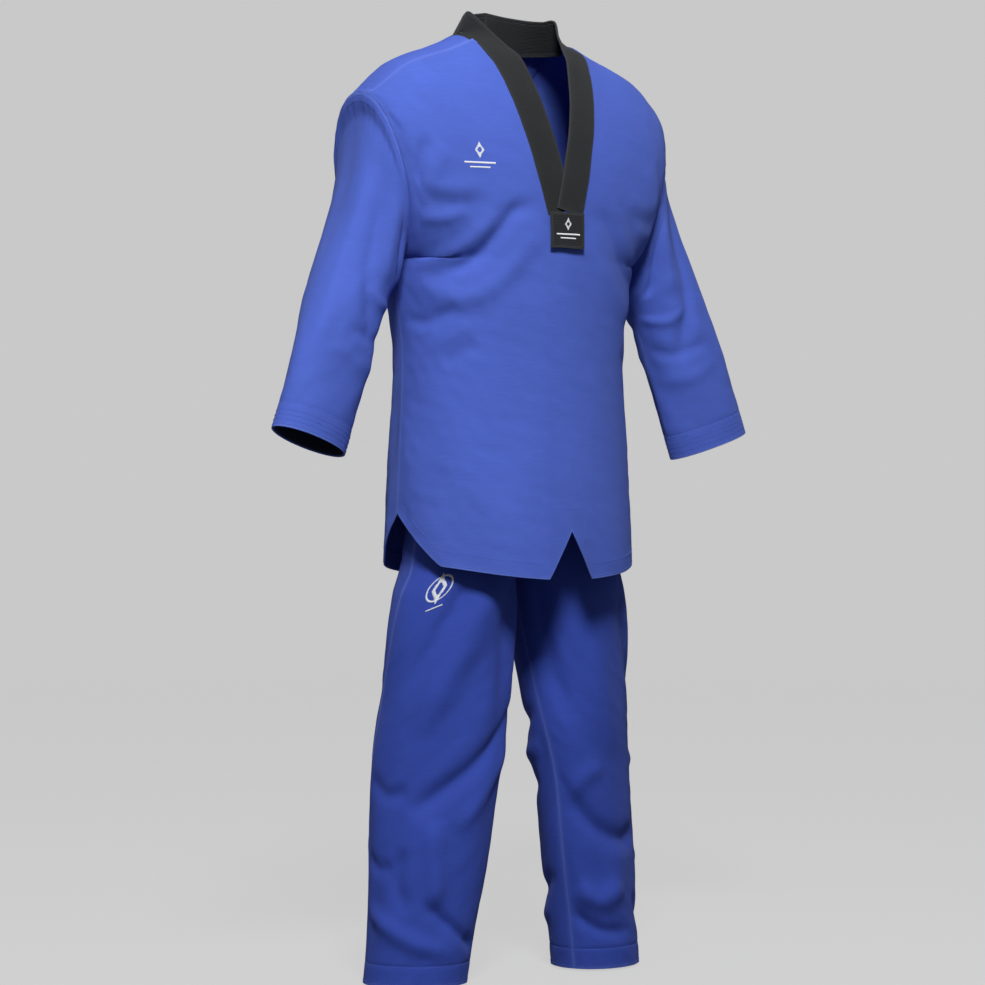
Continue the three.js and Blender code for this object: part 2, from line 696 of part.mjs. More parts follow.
function legs() {
  const slide = (side) => (point) => { point.y += side * GAP / 2; };
  for (const [leg, label] of [[LEFT, 'left'], [RIGHT, 'right']]) {
    for (const [side, part] of [[FRONT, 'front'], [BACK, 'back']]) {
      const surface = leg === LEFT ? legSurface(side) : mirrored(legSurface(side));
      piece(`${label}_leg_${part}`, sheet(surface, {
        us: legColumns,
        vs: legRows,
        thickness: CLOTH,
        snaps: { uLow: slide(side), uHigh: slide(side), vLow: onHeight(0), vHigh: hipCut(HIP_CLEARANCE) },
      }), DEEP_BLUE);
      piece(`${label}_leg_${part}_hem_facing`, sheet(surface, {
        us: within(legColumns, -0.985, 0.985),
        vs: [0.002, LEG_HEM_FACING / (HIP_PIVOT - HIP_RADIUS)],
        thickness: TRIM,
        offset: inside(TRIM),
      }), DEEP_BLUE);
    }
  }
}

function thighEmblem() {
  piece('thigh_emblem', sheet(mirrored(legSurface(FRONT)), {
    us: within(legColumns, -0.62, -0.32),
    vs: within(legRows, 0.85, 0.935),
    thickness: THREAD,
    offset: outside(THREAD),
  }), WHITE);
}

bodyPanels();
tails();
tailFacings();
slitTacks();
sleeves();
collar();
patch();
chestEmblem();
seat();
waistband();
piece('crotch_gusset', gussetStrip(0), DEEP_BLUE);
legs();
thighEmblem();

export default group;
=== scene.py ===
import math

import bpy
import numpy as np
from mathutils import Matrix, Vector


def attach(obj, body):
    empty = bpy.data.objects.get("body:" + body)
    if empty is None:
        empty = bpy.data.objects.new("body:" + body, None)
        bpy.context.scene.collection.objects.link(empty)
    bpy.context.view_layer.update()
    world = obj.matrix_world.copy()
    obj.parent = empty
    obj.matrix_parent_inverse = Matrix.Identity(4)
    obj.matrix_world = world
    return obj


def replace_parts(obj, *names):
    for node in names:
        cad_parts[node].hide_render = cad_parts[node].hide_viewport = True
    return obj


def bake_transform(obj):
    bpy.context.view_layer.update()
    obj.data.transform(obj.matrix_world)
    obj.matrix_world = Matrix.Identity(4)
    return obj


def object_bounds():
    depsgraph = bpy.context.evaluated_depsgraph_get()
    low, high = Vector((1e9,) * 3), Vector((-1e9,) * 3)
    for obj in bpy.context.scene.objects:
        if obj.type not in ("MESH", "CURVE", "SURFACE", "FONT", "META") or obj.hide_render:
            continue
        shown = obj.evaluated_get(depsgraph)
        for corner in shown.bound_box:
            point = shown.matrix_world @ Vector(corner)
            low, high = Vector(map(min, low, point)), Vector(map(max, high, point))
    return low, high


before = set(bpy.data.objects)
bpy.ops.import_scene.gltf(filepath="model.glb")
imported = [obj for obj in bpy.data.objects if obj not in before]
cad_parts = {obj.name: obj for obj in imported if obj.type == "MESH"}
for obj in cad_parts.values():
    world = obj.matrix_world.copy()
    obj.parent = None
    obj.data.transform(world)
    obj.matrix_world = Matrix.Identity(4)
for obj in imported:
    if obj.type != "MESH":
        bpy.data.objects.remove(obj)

for name in ("Cube", "Light", "Camera"):
    if name in bpy.data.objects:
        bpy.data.objects.remove(bpy.data.objects[name])
cad_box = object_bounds()

# Lengths are metres. Heights are above the trouser hems; the frame's origin is the middle of the neck.
FRONT, BACK = -1, 1
QUARTER = math.pi / 2
NECK_HEIGHT = 1.36
CLOTH, TRIM, GAP, INTERLINING = 0.002, 0.0012, 0.0003, 0.001
THREAD_LIFT = 0.0002
HEM_HEIGHT, SLIT_TOP, WAIST_LINE = 0.576, 0.68, 0.89
HEM_HALF_WIDTH, WAIST_HALF_WIDTH = 0.196, 0.184
HEM_DEPTH = {FRONT: 0.158, BACK: 0.14}
CHEST_DEPTH = {FRONT: 0.14, BACK: 0.118}
SHOULDER_PEAK, SHOULDER_CURVE, SHOULDER_FULLNESS = 1.4, 1.2, 0.014
SHOULDER_ROUNDNESS, SHOULDER_LENGTH = 2.6, 0.4
HEM_CURVE = 0.026
CORNER_HIGH, CORNER_SLOPE = 0.672, {FRONT: 0.98, BACK: 1.25}
NOTCH_HALF_WIDTH, NOTCH_HEIGHT = 0.038, 0.069
ARMHOLE_RADIUS, ARMHOLE_OUT, ARMHOLE_HEIGHT = 0.12, 0.23, 1.15
ARMHOLE_DEPTH = {FRONT: 0.6, BACK: 0.78}    # shares of the radius
ARMHOLE_LEAN = math.radians(14)
ARMPIT_HEIGHT = ARMHOLE_HEIGHT - ARMHOLE_RADIUS * math.cos(ARMHOLE_LEAN)
ARMPIT_OUT = ARMHOLE_OUT - ARMHOLE_RADIUS * math.sin(ARMHOLE_LEAN)
SLEEVE_LENGTH, SLEEVE_ANGLE = 0.401, math.radians(19)
CUFF_HALF_WIDTH, CUFF_HALF_DEPTH, CUFF_FACING = 0.054, 0.042, 0.036
CUFF_SPREAD, CUFF_TWIST, ARM_FORWARD = 0.01, math.radians(12), 0.026
SLEEVE_FLATTENING, SLEEVE_PULL = 0.004, 0.03
NECK_HALF_WIDTH, NECK_HALF_DEPTH = 0.099, 0.065
V_BOTTOM, V_BOTTOM_HALF_WIDTH = 1.09, 0.029
BAND_WIDTH, BAND_THICKNESS, OVERLAP_RISE = 0.045, 0.003, 0.0036
STAND_BASE, STAND_TOP, STAND_LEAN = 1.347, 1.407, 0.022
TROUSER_TOP, WAISTBAND_HEIGHT = 0.985, 0.042
SEAT_TOP = TROUSER_TOP - WAISTBAND_HEIGHT
TROUSER_HALF_WIDTH, TROUSER_HALF_DEPTH = 0.15, 0.1
HIP_PIVOT, HIP_RADIUS = 0.71, 0.112
LEG_TOP_OUT, LEG_TOP_HALF, LEG_TOP_FORWARD = 0.088, 0.084, 0.008
THIGH_HEIGHT, THIGH_OUT, THIGH_HALF_WIDTH, THIGH_HALF_DEPTH = 0.44, 0.112, 0.098, 0.064
KNEE_FORWARD = 0.01
LEG_HEM_OUT, LEG_HEM_HALF_WIDTH, LEG_HEM_HALF_DEPTH = 0.163, 0.074, 0.063
TOE_OUT = math.radians(28)
HIP_SPREAD, THIGH_TAPER = 0.012, 0.008
HEM_FACING, LEG_HEM_FACING = 0.024, 0.03


# ---------------- camera and light ----------------

def look_at(obj, target):
    away = np.array(obj.location) - np.array(target)
    obj.rotation_euler = (math.atan2(math.hypot(away[0], away[1]), away[2]), 0,
                          math.atan2(away[0], -away[1]))


VIEW_ANGLE, VIEW_DISTANCE, VIEW_HEIGHT, SIDE_STEP = math.radians(-36), 4.6, -0.66, -0.021
camera = bpy.data.objects.new("camera", bpy.data.cameras.new("camera"))
bpy.context.collection.objects.link(camera)
side_x, side_y = math.cos(VIEW_ANGLE) * SIDE_STEP, math.sin(VIEW_ANGLE) * SIDE_STEP
camera.location = (math.sin(VIEW_ANGLE) * VIEW_DISTANCE + side_x,
                   -math.cos(VIEW_ANGLE) * VIEW_DISTANCE + side_y, VIEW_HEIGHT)
look_at(camera, (side_x, side_y, VIEW_HEIGHT))
camera.data.lens = 115
camera.data.sensor_width = 36
camera.data.clip_end = 60
bpy.context.scene.camera = camera


def soft_light(name, place, size, power, target=(0, 0, -0.6)):
    data = bpy.data.lights.new(name, "AREA")
    data.shape = "SQUARE"
    data.size = size
    data.energy = power
    lamp = bpy.data.objects.new(name, data)
    bpy.context.collection.objects.link(lamp)
    lamp.location = place
    look_at(lamp, target)


soft_light("key", (-1.7, -2.6, 2.3), 0.9, 180, target=(0, 0, -0.2))
soft_light("fill", (2.8, -2.2, 0.4), 2.6, 2)
soft_light("top", (0.0, 0.2, 2.7), 1.6, 12)
soft_light("rim", (-2.6, 1.6, 0.8), 1.6, 3)

world = bpy.data.worlds.new("studio")
world.use_nodes = True
background = world.node_tree.nodes["Background"]
background.inputs["Color"].default_value = (0.93, 0.95, 1.0, 1)
background.inputs["Strength"].default_value = 0.13
bpy.context.scene.world = world
bpy.context.scene.view_settings.view_transform = "Standard"


def new_object(name, points, faces, material, sharp=None):
    mesh = bpy.data.meshes.new(name)
    mesh.from_pydata(np.asarray(points).reshape(-1, 3).tolist(), [], [list(map(int, f)) for f in faces])
    mesh.materials.append(material)
    mesh.polygons.foreach_set("use_smooth", [True] * len(mesh.polygons))
    mesh.update()
    if sharp:
        mesh.set_sharp_from_angle(angle=math.radians(sharp))
    obj = bpy.data.objects.new(name, mesh)
    bpy.context.collection.objects.link(obj)
    return obj


# ---------------- materials ----------------

def principled(name, colour, roughness, sheen=0.0, sheen_tint=(1, 1, 1), specular=0.3):
    material = bpy.data.materials.new(name)
    material.use_nodes = True
    shader = material.node_tree.nodes["Principled BSDF"]
    shader.inputs["Base Color"].default_value = (*colour, 1)
    shader.inputs["Roughness"].default_value = roughness
    shader.inputs["Sheen Weight"].default_value = sheen
    shader.inputs["Sheen Roughness"].default_value = 0.45
    shader.inputs["Sheen Tint"].default_value = (*sheen_tint, 1)
    shader.inputs["Specular IOR Level"].default_value = specular
    return material, shader


def node(tree, kind, **inputs):
    made = tree.nodes.new(kind)
    for key, value in inputs.items():
        made.inputs[key.replace("_", " ")].default_value = value
    return made


def maths(tree, operation, first, second=None):
    made = tree.nodes.new("ShaderNodeMath")
    made.operation = operation
    for socket, value in zip(made.inputs, (first, second)):
        if value is None:
            continue
        if hasattr(value, "links"):
            tree.links.new(value, socket)
        else:
            socket.default_value = value
    return made.outputs[0]


def cloth_material(name, colour, worn, pitch, thread_depth, roughness=0.82, sheen=0.08,
                   tint=(0.55, 0.65, 1.0), specular=0.25, ribs=0.0):
    """Woven cloth: crossing threads from the weave map, uneven dye, pilling and worn edges."""
    material, shader = principled(name, colour, roughness, sheen, tint, specular)
    tree = material.node_tree
    link = tree.links.new
    weave = tree.nodes.new("ShaderNodeUVMap")
    weave.uv_map = "weave"
    parts = tree.nodes.new("ShaderNodeSeparateXYZ")
    link(weave.outputs[0], parts.inputs[0])
    turn = 2 * math.pi / pitch
    warp = maths(tree, "SINE", maths(tree, "MULTIPLY", parts.outputs[0], turn))
    weft = maths(tree, "SINE", maths(tree, "MULTIPLY", parts.outputs[1], turn * 0.8))
    crossing = maths(tree, "MULTIPLY", warp, weft)
    if ribs:
        rib = maths(tree, "SINE", maths(tree, "MULTIPLY", parts.outputs[1], 2 * math.pi / ribs))
        crossing = maths(tree, "ADD", crossing, rib)
    place = tree.nodes.new("ShaderNodeTexCoord")
    fuzz = node(tree, "ShaderNodeTexNoise", Scale=900.0, Detail=2.0, Roughness=0.7)
    slub = node(tree, "ShaderNodeTexNoise", Scale=1.0, Detail=3.0, Roughness=0.6)
    dye = node(tree, "ShaderNodeTexNoise", Scale=9.0, Detail=4.0, Roughness=0.55)
    stretch = tree.nodes.new("ShaderNodeMapping")
    stretch.inputs["Scale"].default_value = (60, 60, 420)
    link(place.outputs["Object"], stretch.inputs[0])
    link(stretch.outputs[0], slub.inputs["Vector"])
    link(place.outputs["Object"], fuzz.inputs["Vector"])
    link(place.outputs["Object"], dye.inputs["Vector"])
    height = maths(tree, "ADD", crossing, maths(tree, "MULTIPLY", fuzz.outputs["Fac"], 1.6))
    height = maths(tree, "ADD", height, maths(tree, "MULTIPLY", slub.outputs["Fac"], 1.8))
    bump = node(tree, "ShaderNodeBump", Strength=0.55, Distance=thread_depth)
    link(height, bump.inputs["Height"])
    link(bump.outputs[0], shader.inputs["Normal"])
    # Uneven dye, then worn edges.
    patchy = maths(tree, "ADD", maths(tree, "MULTIPLY", dye.outputs["Fac"], 0.7),
                   maths(tree, "MULTIPLY", slub.outputs["Fac"], 0.5))
    tone = tree.nodes.new("ShaderNodeMapRange")
    tone.inputs["From Min"].default_value = 0.35
    tone.inputs["From Max"].default_value = 0.85
    link(patchy, tone.inputs["Value"])
    mixed = tree.nodes.new("ShaderNodeMix")
    mixed.data_type = "RGBA"
    mixed.inputs[6].default_value = (*[c * 0.9 for c in colour], 1)
    mixed.inputs[7].default_value = (*[min(1, c * 1.1) for c in colour], 1)
    link(tone.outputs[0], mixed.inputs[0])
    edge = tree.nodes.new("ShaderNodeAttribute")
    edge.attribute_name = "worn"
    wear = tree.nodes.new("ShaderNodeMix")
    wear.data_type = "RGBA"
    wear.inputs[7].default_value = (*worn, 1)
    link(maths(tree, "MULTIPLY", edge.outputs["Fac"], fuzz.outputs["Fac"]), wear.inputs[0])
    link(mixed.outputs[2], wear.inputs[6])
    link(wear.outputs[2], shader.inputs["Base Color"])
    rough = tree.nodes.new("ShaderNodeMapRange")
    rough.inputs["To Min"].default_value = roughness - 0.06
    rough.inputs["To Max"].default_value = min(1, roughness + 0.08)
    link(fuzz.outputs["Fac"], rough.inputs["Value"])
    link(rough.outputs[0], shader.inputs["Roughness"])
    return material


JACKET_BLUE = (0.074, 0.132, 0.575)
TROUSER_BLUE = (0.036, 0.074, 0.43)
jacket_cloth = cloth_material("jacket_cloth", JACKET_BLUE, (0.16, 0.24, 0.72), 0.0012, 0.00022)
trouser_cloth = cloth_material("trouser_cloth", TROUSER_BLUE, (0.13, 0.2, 0.64), 0.0012, 0.00022)
collar_cloth = cloth_material("collar_cloth", (0.022, 0.023, 0.025), (0.058, 0.06, 0.064), 0.0014, 0.0003,
                              0.86, 0.1, (0.8, 0.8, 0.85), 0.2, ribs=0.0022)
lining_cloth = cloth_material("lining_cloth", (0.055, 0.098, 0.47), (0.12, 0.19, 0.6), 0.0014, 0.0002)
# Painted shade: the cuff facings get a near-black cloth that stands in for the shadow inside the cuff
# openings.
cuff_painted_shade = cloth_material("cuff_painted_shade", (0.01, 0.013, 0.03), (0.03, 0.04, 0.08), 0.0014, 0.0002)
canvas_cloth = cloth_material("canvas_cloth", (0.56, 0.53, 0.46), (0.66, 0.63, 0.56), 0.0016, 0.0003,
                              0.9, 0.1, (1, 1, 1))
elastic_cloth = cloth_material("elastic_cloth", (0.62, 0.62, 0.6), (0.72, 0.72, 0.7), 0.0018, 0.0004,
                               0.8, 0.1, (1, 1, 1), ribs=0.004)
blue_thread, _ = principled("blue_thread", (0.1, 0.165, 0.66), 0.6, 0.2, (0.7, 0.8, 1.0), 0.35)
trouser_thread, _ = principled("trouser_thread", (0.075, 0.13, 0.56), 0.6, 0.2, (0.7, 0.8, 1.0), 0.35)
black_thread, _ = principled("black_thread", (0.055, 0.056, 0.06), 0.6, 0.2, (1, 1, 1), 0.3)
white_thread, _ = principled("white_thread", (0.8, 0.82, 0.86), 0.5, 0.35, (1, 1, 1), 0.4)


# ---------------- cloth surfaces ----------------

def smooth(t, low=0.0, high=1.0):
    t = np.clip((np.asarray(t, float) - low) / (high - low), 0, 1)
    return t * t * (3 - 2 * t)


def mix(a, b, t):
    return a + (b - a) * t


def stack(x, y, z):
    return np.stack(np.broadcast_arrays(x, y, z), axis=-1).astype(float)


def rounded_path(points, count=6):
    """A Catmull-Rom curve through the points."""
    p = np.array([points[0], *points, points[-1]], float)
    curve = []
    for i in range(1, len(p) - 2):
        for t in np.linspace(0, 1, count, endpoint=False):
            curve.append(0.5 * (2 * p[i] + (p[i + 1] - p[i - 1]) * t
                                + (2 * p[i - 1] - 5 * p[i] + 4 * p[i + 1] - p[i + 2]) * t ** 2
                                + (3 * p[i] - p[i - 1] - 3 * p[i + 1] + p[i + 2]) * t ** 3))
    curve.append(p[-2])
    return np.array(curve)


def fold_field(strokes, s, t):
    """Height of all the folds at (s, t), in metres. A stroke is (points, width, depth)."""
    total = np.zeros(np.broadcast(s, t).shape)
    for points, width, depth in strokes:
        path = rounded_path(points)
        best = np.full(total.shape, 1e9)
        along = np.zeros(total.shape)
        count = len(path) - 1
        for i in range(count):
            a, b = path[i], path[i + 1]
            d = b - a
            k = np.clip(((s - a[0]) * d[0] + (t - a[1]) * d[1]) / max(d @ d, 1e-12), 0, 1)
            away = (s - a[0] - k * d[0]) ** 2 + (t - a[1] - k * d[1]) ** 2
            nearer = away < best
            best = np.where(nearer, away, best)
            along = np.where(nearer, (i + k) / count, along)
        total += depth * np.exp(-best / width ** 2) * smooth(along, 0, 0.3) * smooth(1 - along, 0, 0.3)
    return total


def ripples(seed, wavelength, height, lean=0.0, stretch=3.0, count=7):
    """Soft random undulation, longer along t than along s."""
    draws = np.random.default_rng(seed)
    turns = lean + draws.normal(0, 0.25, count)
    lengths = wavelength * draws.uniform(0.7, 1.6, count)
    phases = draws.uniform(0, 2 * math.pi, (count, 2))
    sizes = height * draws.uniform(0.5, 1.0, count) / math.sqrt(count)

    def field(s, t):
        total = 0.0
        for turn, length, (p1, p2), size in zip(turns, lengths, phases, sizes):
            across = s * math.cos(turn) + t * math.sin(turn)
            onward = t * math.cos(turn) - s * math.sin(turn)
            total = total + size * np.sin(across * 2 * math.pi / length + p1) \
                * np.cos(onward * 2 * math.pi / (length * stretch) + p2)
        return total
    return field


class Shell:
    """A cloth surface: a base shape with folds raised along its normal."""
    STEP = 1e-3

    def __init__(self, base, field, flip=1, mirror=False):
        self.base, self.field = base, field
        self.flip, self.mirror = (-flip if mirror else flip), mirror

    def bare(self, u, v):
        p = self.base(u, v)
        if self.mirror:
            p = p * np.array([-1.0, 1.0, 1.0])
        return p

    def normal(self, f, u, v):
        e = self.STEP
        n = np.cross(f(u + e, v) - f(u - e, v), f(u, v + e) - f(u, v - e))
        return n * self.flip / np.maximum(np.linalg.norm(n, axis=-1, keepdims=True), 1e-12)

    def skin(self, u, v):
        u, v = np.broadcast_arrays(np.asarray(u, float), np.asarray(v, float))
        return self.bare(u, v) + self.normal(self.bare, u, v) * self.field(u, v)[..., None]

    def place(self, u, v, lift=0.0):
        n = self.normal(self.skin, u, v)
        lift = np.asarray(lift, float)
        p = self.skin(u, v) + n * (lift[..., None] if lift.ndim else lift)
        p[..., 2] -= NECK_HEIGHT
        return p, n


def weave_map(points):
    """Distances along and across the cloth, in metres."""
    along = np.linalg.norm(np.diff(points, axis=1), axis=-1)
    up = np.linalg.norm(np.diff(points, axis=0), axis=-1)
    x = np.concatenate([np.zeros((points.shape[0], 1)), np.cumsum(along, axis=1)], axis=1)
    x -= x[:, x.shape[1] // 2:x.shape[1] // 2 + 1]
    y = np.concatenate([np.zeros((1, points.shape[1])), np.cumsum(up, axis=0)], axis=0)
    return x, y


def cloth_sheet(name, shell, u, v, thickness, material, lift=0.0, sharp=38, final=None):
    """A closed thin sheet over a grid of (u, v), with rounded edges, a weave map and worn edges."""
    middle, n = shell.place(u, v, lift)
    if final:
        middle = final(middle)
    rows, cols = middle.shape[:2]
    x, y = weave_map(middle)
    ring = [(0, c) for c in range(cols)] + [(r, cols - 1) for r in range(1, rows)] \
        + [(rows - 1, c) for c in range(cols - 2, -1, -1)] + [(r, 0) for r in range(rows - 2, 0, -1)]
    ring = np.array(ring)
    inward = np.clip(ring, [1, 1], [rows - 2, cols - 2])
    edge = middle[ring[:, 0], ring[:, 1]]
    out = edge - middle[inward[:, 0], inward[:, 1]]
    out /= np.maximum(np.linalg.norm(out, axis=-1, keepdims=True), 1e-9)
    brow = edge + out * thickness * 0.3
    points = np.concatenate([(middle + n * thickness / 2).reshape(-1, 3),
                             (middle - n * thickness / 2).reshape(-1, 3), brow])
    index = np.arange(rows * cols).reshape(rows, cols)
    quads = np.stack([index[:-1, :-1], index[:-1, 1:], index[1:, 1:], index[1:, :-1]], -1).reshape(-1, 4)
    if shell.flip < 0:
        quads = quads[:, ::-1]
    under = quads[:, ::-1] + rows * cols
    rim = index[ring[:, 0], ring[:, 1]]
    after = np.roll(rim, -1)
    crest = 2 * rows * cols + np.arange(len(ring))
    crest_after = np.roll(crest, -1)
    half = rows * cols
    top = np.stack([rim, crest, crest_after, after], -1)
    low = np.stack([crest, rim + half, after + half, crest_after], -1)
    if shell.flip < 0:
        top, low = top[:, ::-1], low[:, ::-1]
    faces = np.concatenate([quads, under, top, low])
    obj = new_object(name, points, faces, material, sharp=sharp)
    size = np.concatenate([np.stack([x, y], -1).reshape(-1, 2)] * 2
                          + [np.stack([x, y], -1)[ring[:, 0], ring[:, 1]]])
    layer = obj.data.uv_layers.new(name="weave")
    corners = np.empty(len(obj.data.loops), int)
    obj.data.loops.foreach_get("vertex_index", corners)
    layer.data.foreach_set("uv", size[corners].astype(np.float32).ravel())
    reach = np.minimum(np.minimum(x - x[:, :1], x[:, -1:] - x), np.minimum(y, y[-1:] - y))
    worn = 0.9 * np.exp(-reach / 0.0022).reshape(-1)
    worn = np.concatenate([worn, worn, np.full(len(ring), 0.9)])
    obj.data.attributes.new("worn", "FLOAT", "POINT").data.foreach_set("value", worn.astype(np.float32))
    return obj


def stitches(rows, length=0.003, gap=0.0011, radius=0.00042):
    """Points and faces of stitches along rows of (points, normals). Each rises from one needle hole
    and dips into the next."""
    points, faces = [], []
    for path, normals in rows:
        gaps = np.linalg.norm(np.diff(path, axis=0), axis=-1)
        far = np.concatenate([[0], np.cumsum(gaps)])
        if far[-1] < length:
            continue
        starts = np.arange(0, far[-1] - length, length + gap)

        def at(values, where):
            return np.stack([np.interp(where, far, values[:, k]) for k in range(3)], -1)
        a, b, n = at(path, starts), at(path, starts + length), at(normals, starts + length / 2)
        along = (b - a) / np.linalg.norm(b - a, axis=-1, keepdims=True)
        side = np.cross(along, n)
        for k in range(len(starts)):
            base = len(points)
            for share, wide in ((0.18, 0.85), (0.5, 1.0), (0.82, 0.85)):
                c = mix(a[k], b[k], share)
                points += [c + side[k] * radius * wide, c + n[k] * radius * 1.1 * wide,
                           c - side[k] * radius * wide, c - n[k] * radius * 0.8]
            points += [a[k] - n[k] * radius, b[k] - n[k] * radius]
            for ring_start in (0, 4):
                for j in range(4):
                    q = base + ring_start
                    faces.append((q + j, q + (j + 1) % 4, q + 4 + (j + 1) % 4, q + 4 + j))
            for j in range(4):
                faces.append((base + 12, base + (j + 1) % 4, base + j))
                faces.append((base + 13, base + 8 + j, base + 8 + (j + 1) % 4))
    return points, faces


def stitched(name, rows, material):
    return new_object(name, *stitches(rows), material)


def seam_row(shell, u, v, lift=CLOTH / 2 + THREAD_LIFT):
    u, v = np.broadcast_arrays(np.asarray(u, float), np.asarray(v, float))
    return shell.place(u, v, lift)


# ---------------- jacket body ----------------

def profile(height, hem, waist, armpit):
    return np.where(height < WAIST_LINE, mix(hem, waist, smooth(height, HEM_HEIGHT, WAIST_LINE)),
                    mix(waist, armpit, smooth(height, WAIST_LINE, ARMPIT_HEIGHT)))


def body_below(side, a, height):
    wide = profile(height, HEM_HALF_WIDTH, WAIST_HALF_WIDTH, ARMPIT_OUT)
    deep = profile(height, HEM_DEPTH[side], CHEST_DEPTH[side], CHEST_DEPTH[side])
    return stack(wide * np.sin(a), side * deep * np.cos(a), height)


def body_above(side, a, rise):
    rise = np.clip(rise, 0, 1)
    turn = rise * math.pi
    edge_x = ARMHOLE_OUT - ARMHOLE_RADIUS * math.sin(ARMHOLE_LEAN) * np.cos(turn)
    edge_y = side * ARMHOLE_RADIUS * ARMHOLE_DEPTH[side] * np.sin(turn)
    edge_z = ARMHOLE_HEIGHT - ARMHOLE_RADIUS * math.cos(ARMHOLE_LEAN) * np.cos(turn)
    depth = side * CHEST_DEPTH[side] * np.sqrt(np.maximum(0, 1 - rise ** SHOULDER_ROUNDNESS))
    across = np.abs(np.sin(a))
    full = SHOULDER_FULLNESS * smooth(across, 0.4, 0.8) * smooth(1 - across, 0, 0.22) \
        * smooth(rise, 0.55, 1)
    return stack(edge_x * np.sin(a), edge_y + (depth - edge_y) * np.cos(a),
                 mix(mix(ARMPIT_HEIGHT, SHOULDER_PEAK, rise), edge_z, across ** SHOULDER_CURVE) + full)


# Rise against distance walked over the shoulder, so that rows lie evenly.
_walk = np.sin(np.linspace(0, QUARTER, 3001)) ** (2 / SHOULDER_ROUNDNESS)
_steps = np.linalg.norm(np.diff(body_above(FRONT, np.full(3001, 0.8), _walk), axis=0), axis=-1)
_walked = np.concatenate([[0], np.cumsum(_steps)])
_walked /= _walked[-1]


def body_point(side, a, q):
    """q is 0 at the hem, 1 at the armpit and 2 on the shoulder; past 2 it comes down in front."""
    a, q = np.broadcast_arrays(np.asarray(a, float), np.asarray(q, float))
    low = body_below(side, a, mix(HEM_HEIGHT, ARMPIT_HEIGHT, np.minimum(q, 1)))
    high = body_above(side, a, np.interp(q - 1, _walked, _walk))
    p = np.where((q > 1)[..., None], high, low)
    if side == BACK:
        over = body_above(FRONT, a, np.interp(3 - q, _walked, _walk))
        p = np.where((q > 2)[..., None], over, p)
    return p


def row_of_rise(rise):
    return 1 + np.interp(rise, _walk, _walked)


def row_of_height(height):
    return (height - HEM_HEIGHT) / (ARMPIT_HEIGHT - HEM_HEIGHT)


PER_DEGREE = 0.0031      # metres of cloth to a degree round the body


def degrees_path(points):
    return [(a * PER_DEGREE, h) for a, h in points]


# Drag folds that run from each armpit towards the chest: (angle, height) points, width, depth.
CHEST_FOLDS = [
    ([(-57, 1.2), (-65, 1.178), (-72, 1.15), (-76, 1.13)], 0.012, -0.004),
    ([(-50, 1.19), (-58, 1.16), (-68, 1.136)], 0.013, 0.0022),
    ([(-80, 1.28), (-82, 1.21), (-78, 1.13), (-77, 1.07)], 0.02, -0.0014),
    ([(-66, 1.3), (-64, 1.27), (-62, 1.22)], 0.014, 0.0006),
    ([(-54, 1.31), (-52, 1.27), (-50, 1.225)], 0.012, 0.001),
    ([(-74, 1.136), (-55, 1.127), (-34, 1.132)], 0.012, 0.0026),
    ([(-72, 1.112), (-52, 1.103), (-34, 1.112)], 0.012, -0.0024),
    ([(-77, 1.088), (-60, 1.086), (-44, 1.098)], 0.009, 0.0034),
    ([(-79, 1.012), (-56, 1.036), (-41, 1.064), (-31, 1.1)], 0.012, 0.0046),
    ([(-68, 0.998), (-44, 1.024), (-31, 1.066), (-22, 1.1), (-8, 1.108)], 0.011, -0.007),
    ([(-82, 1.01), (-54, 0.975), (-36, 0.988), (-22, 1.032), (-10, 1.088)], 0.016, 0.005),
    ([(-84, 0.945), (-66, 0.943), (-50, 0.965)], 0.011, -0.0036),
    ([(-74, 0.903), (-58, 0.918), (-42, 0.942)], 0.013, 0.0024),
    ([(-62, 0.882), (-42, 0.908)], 0.011, -0.0018),
]


def other_side(folds, share):
    return [([(-a, h - 0.008) for a, h in points], width * 1.1, depth * share)
            for points, width, depth in folds]


front_strokes = [(degrees_path(p), w, d) for p, w, d in CHEST_FOLDS + other_side(CHEST_FOLDS, 0.55)]
BACK_FOLDS = [
    ([(-82, 1.26), (-78, 1.18), (-72, 1.09)], 0.012, -0.005),
    ([(-80, 1.12), (-60, 1.13), (-40, 1.16)], 0.012, -0.005),
    ([(-78, 1.08), (-58, 1.085), (-36, 1.11)], 0.013, 0.0042),
    ([(-80, 1.045), (-58, 1.035), (-34, 1.052)], 0.012, -0.0046),
    ([(-80, 1.000), (-60, 0.985), (-40, 0.99)], 0.014, 0.0034),
    ([(-20, 1.26), (-8, 1.18), (-4, 1.08)], 0.02, -0.003),
    ([(-70, 0.93), (-50, 0.905), (-25, 0.895), (0, 0.905)], 0.014, -0.0032),
    ([(-60, 0.88), (-30, 0.862), (5, 0.872)], 0.016, 0.0028),
    ([(-45, 0.84), (-10, 0.828), (20, 0.836)], 0.014, -0.0022),
]
back_strokes = [(degrees_path(p), w, d) for p, w, d in BACK_FOLDS + other_side(BACK_FOLDS, 0.85)]
body_ripple = ripples(11, 0.11, 0.0016, lean=0.15)
fine_ripple = ripples(12, 0.034, 0.0004, lean=0.9)
PUCKER, PUCKER_PITCH = 0.0007, 0.017


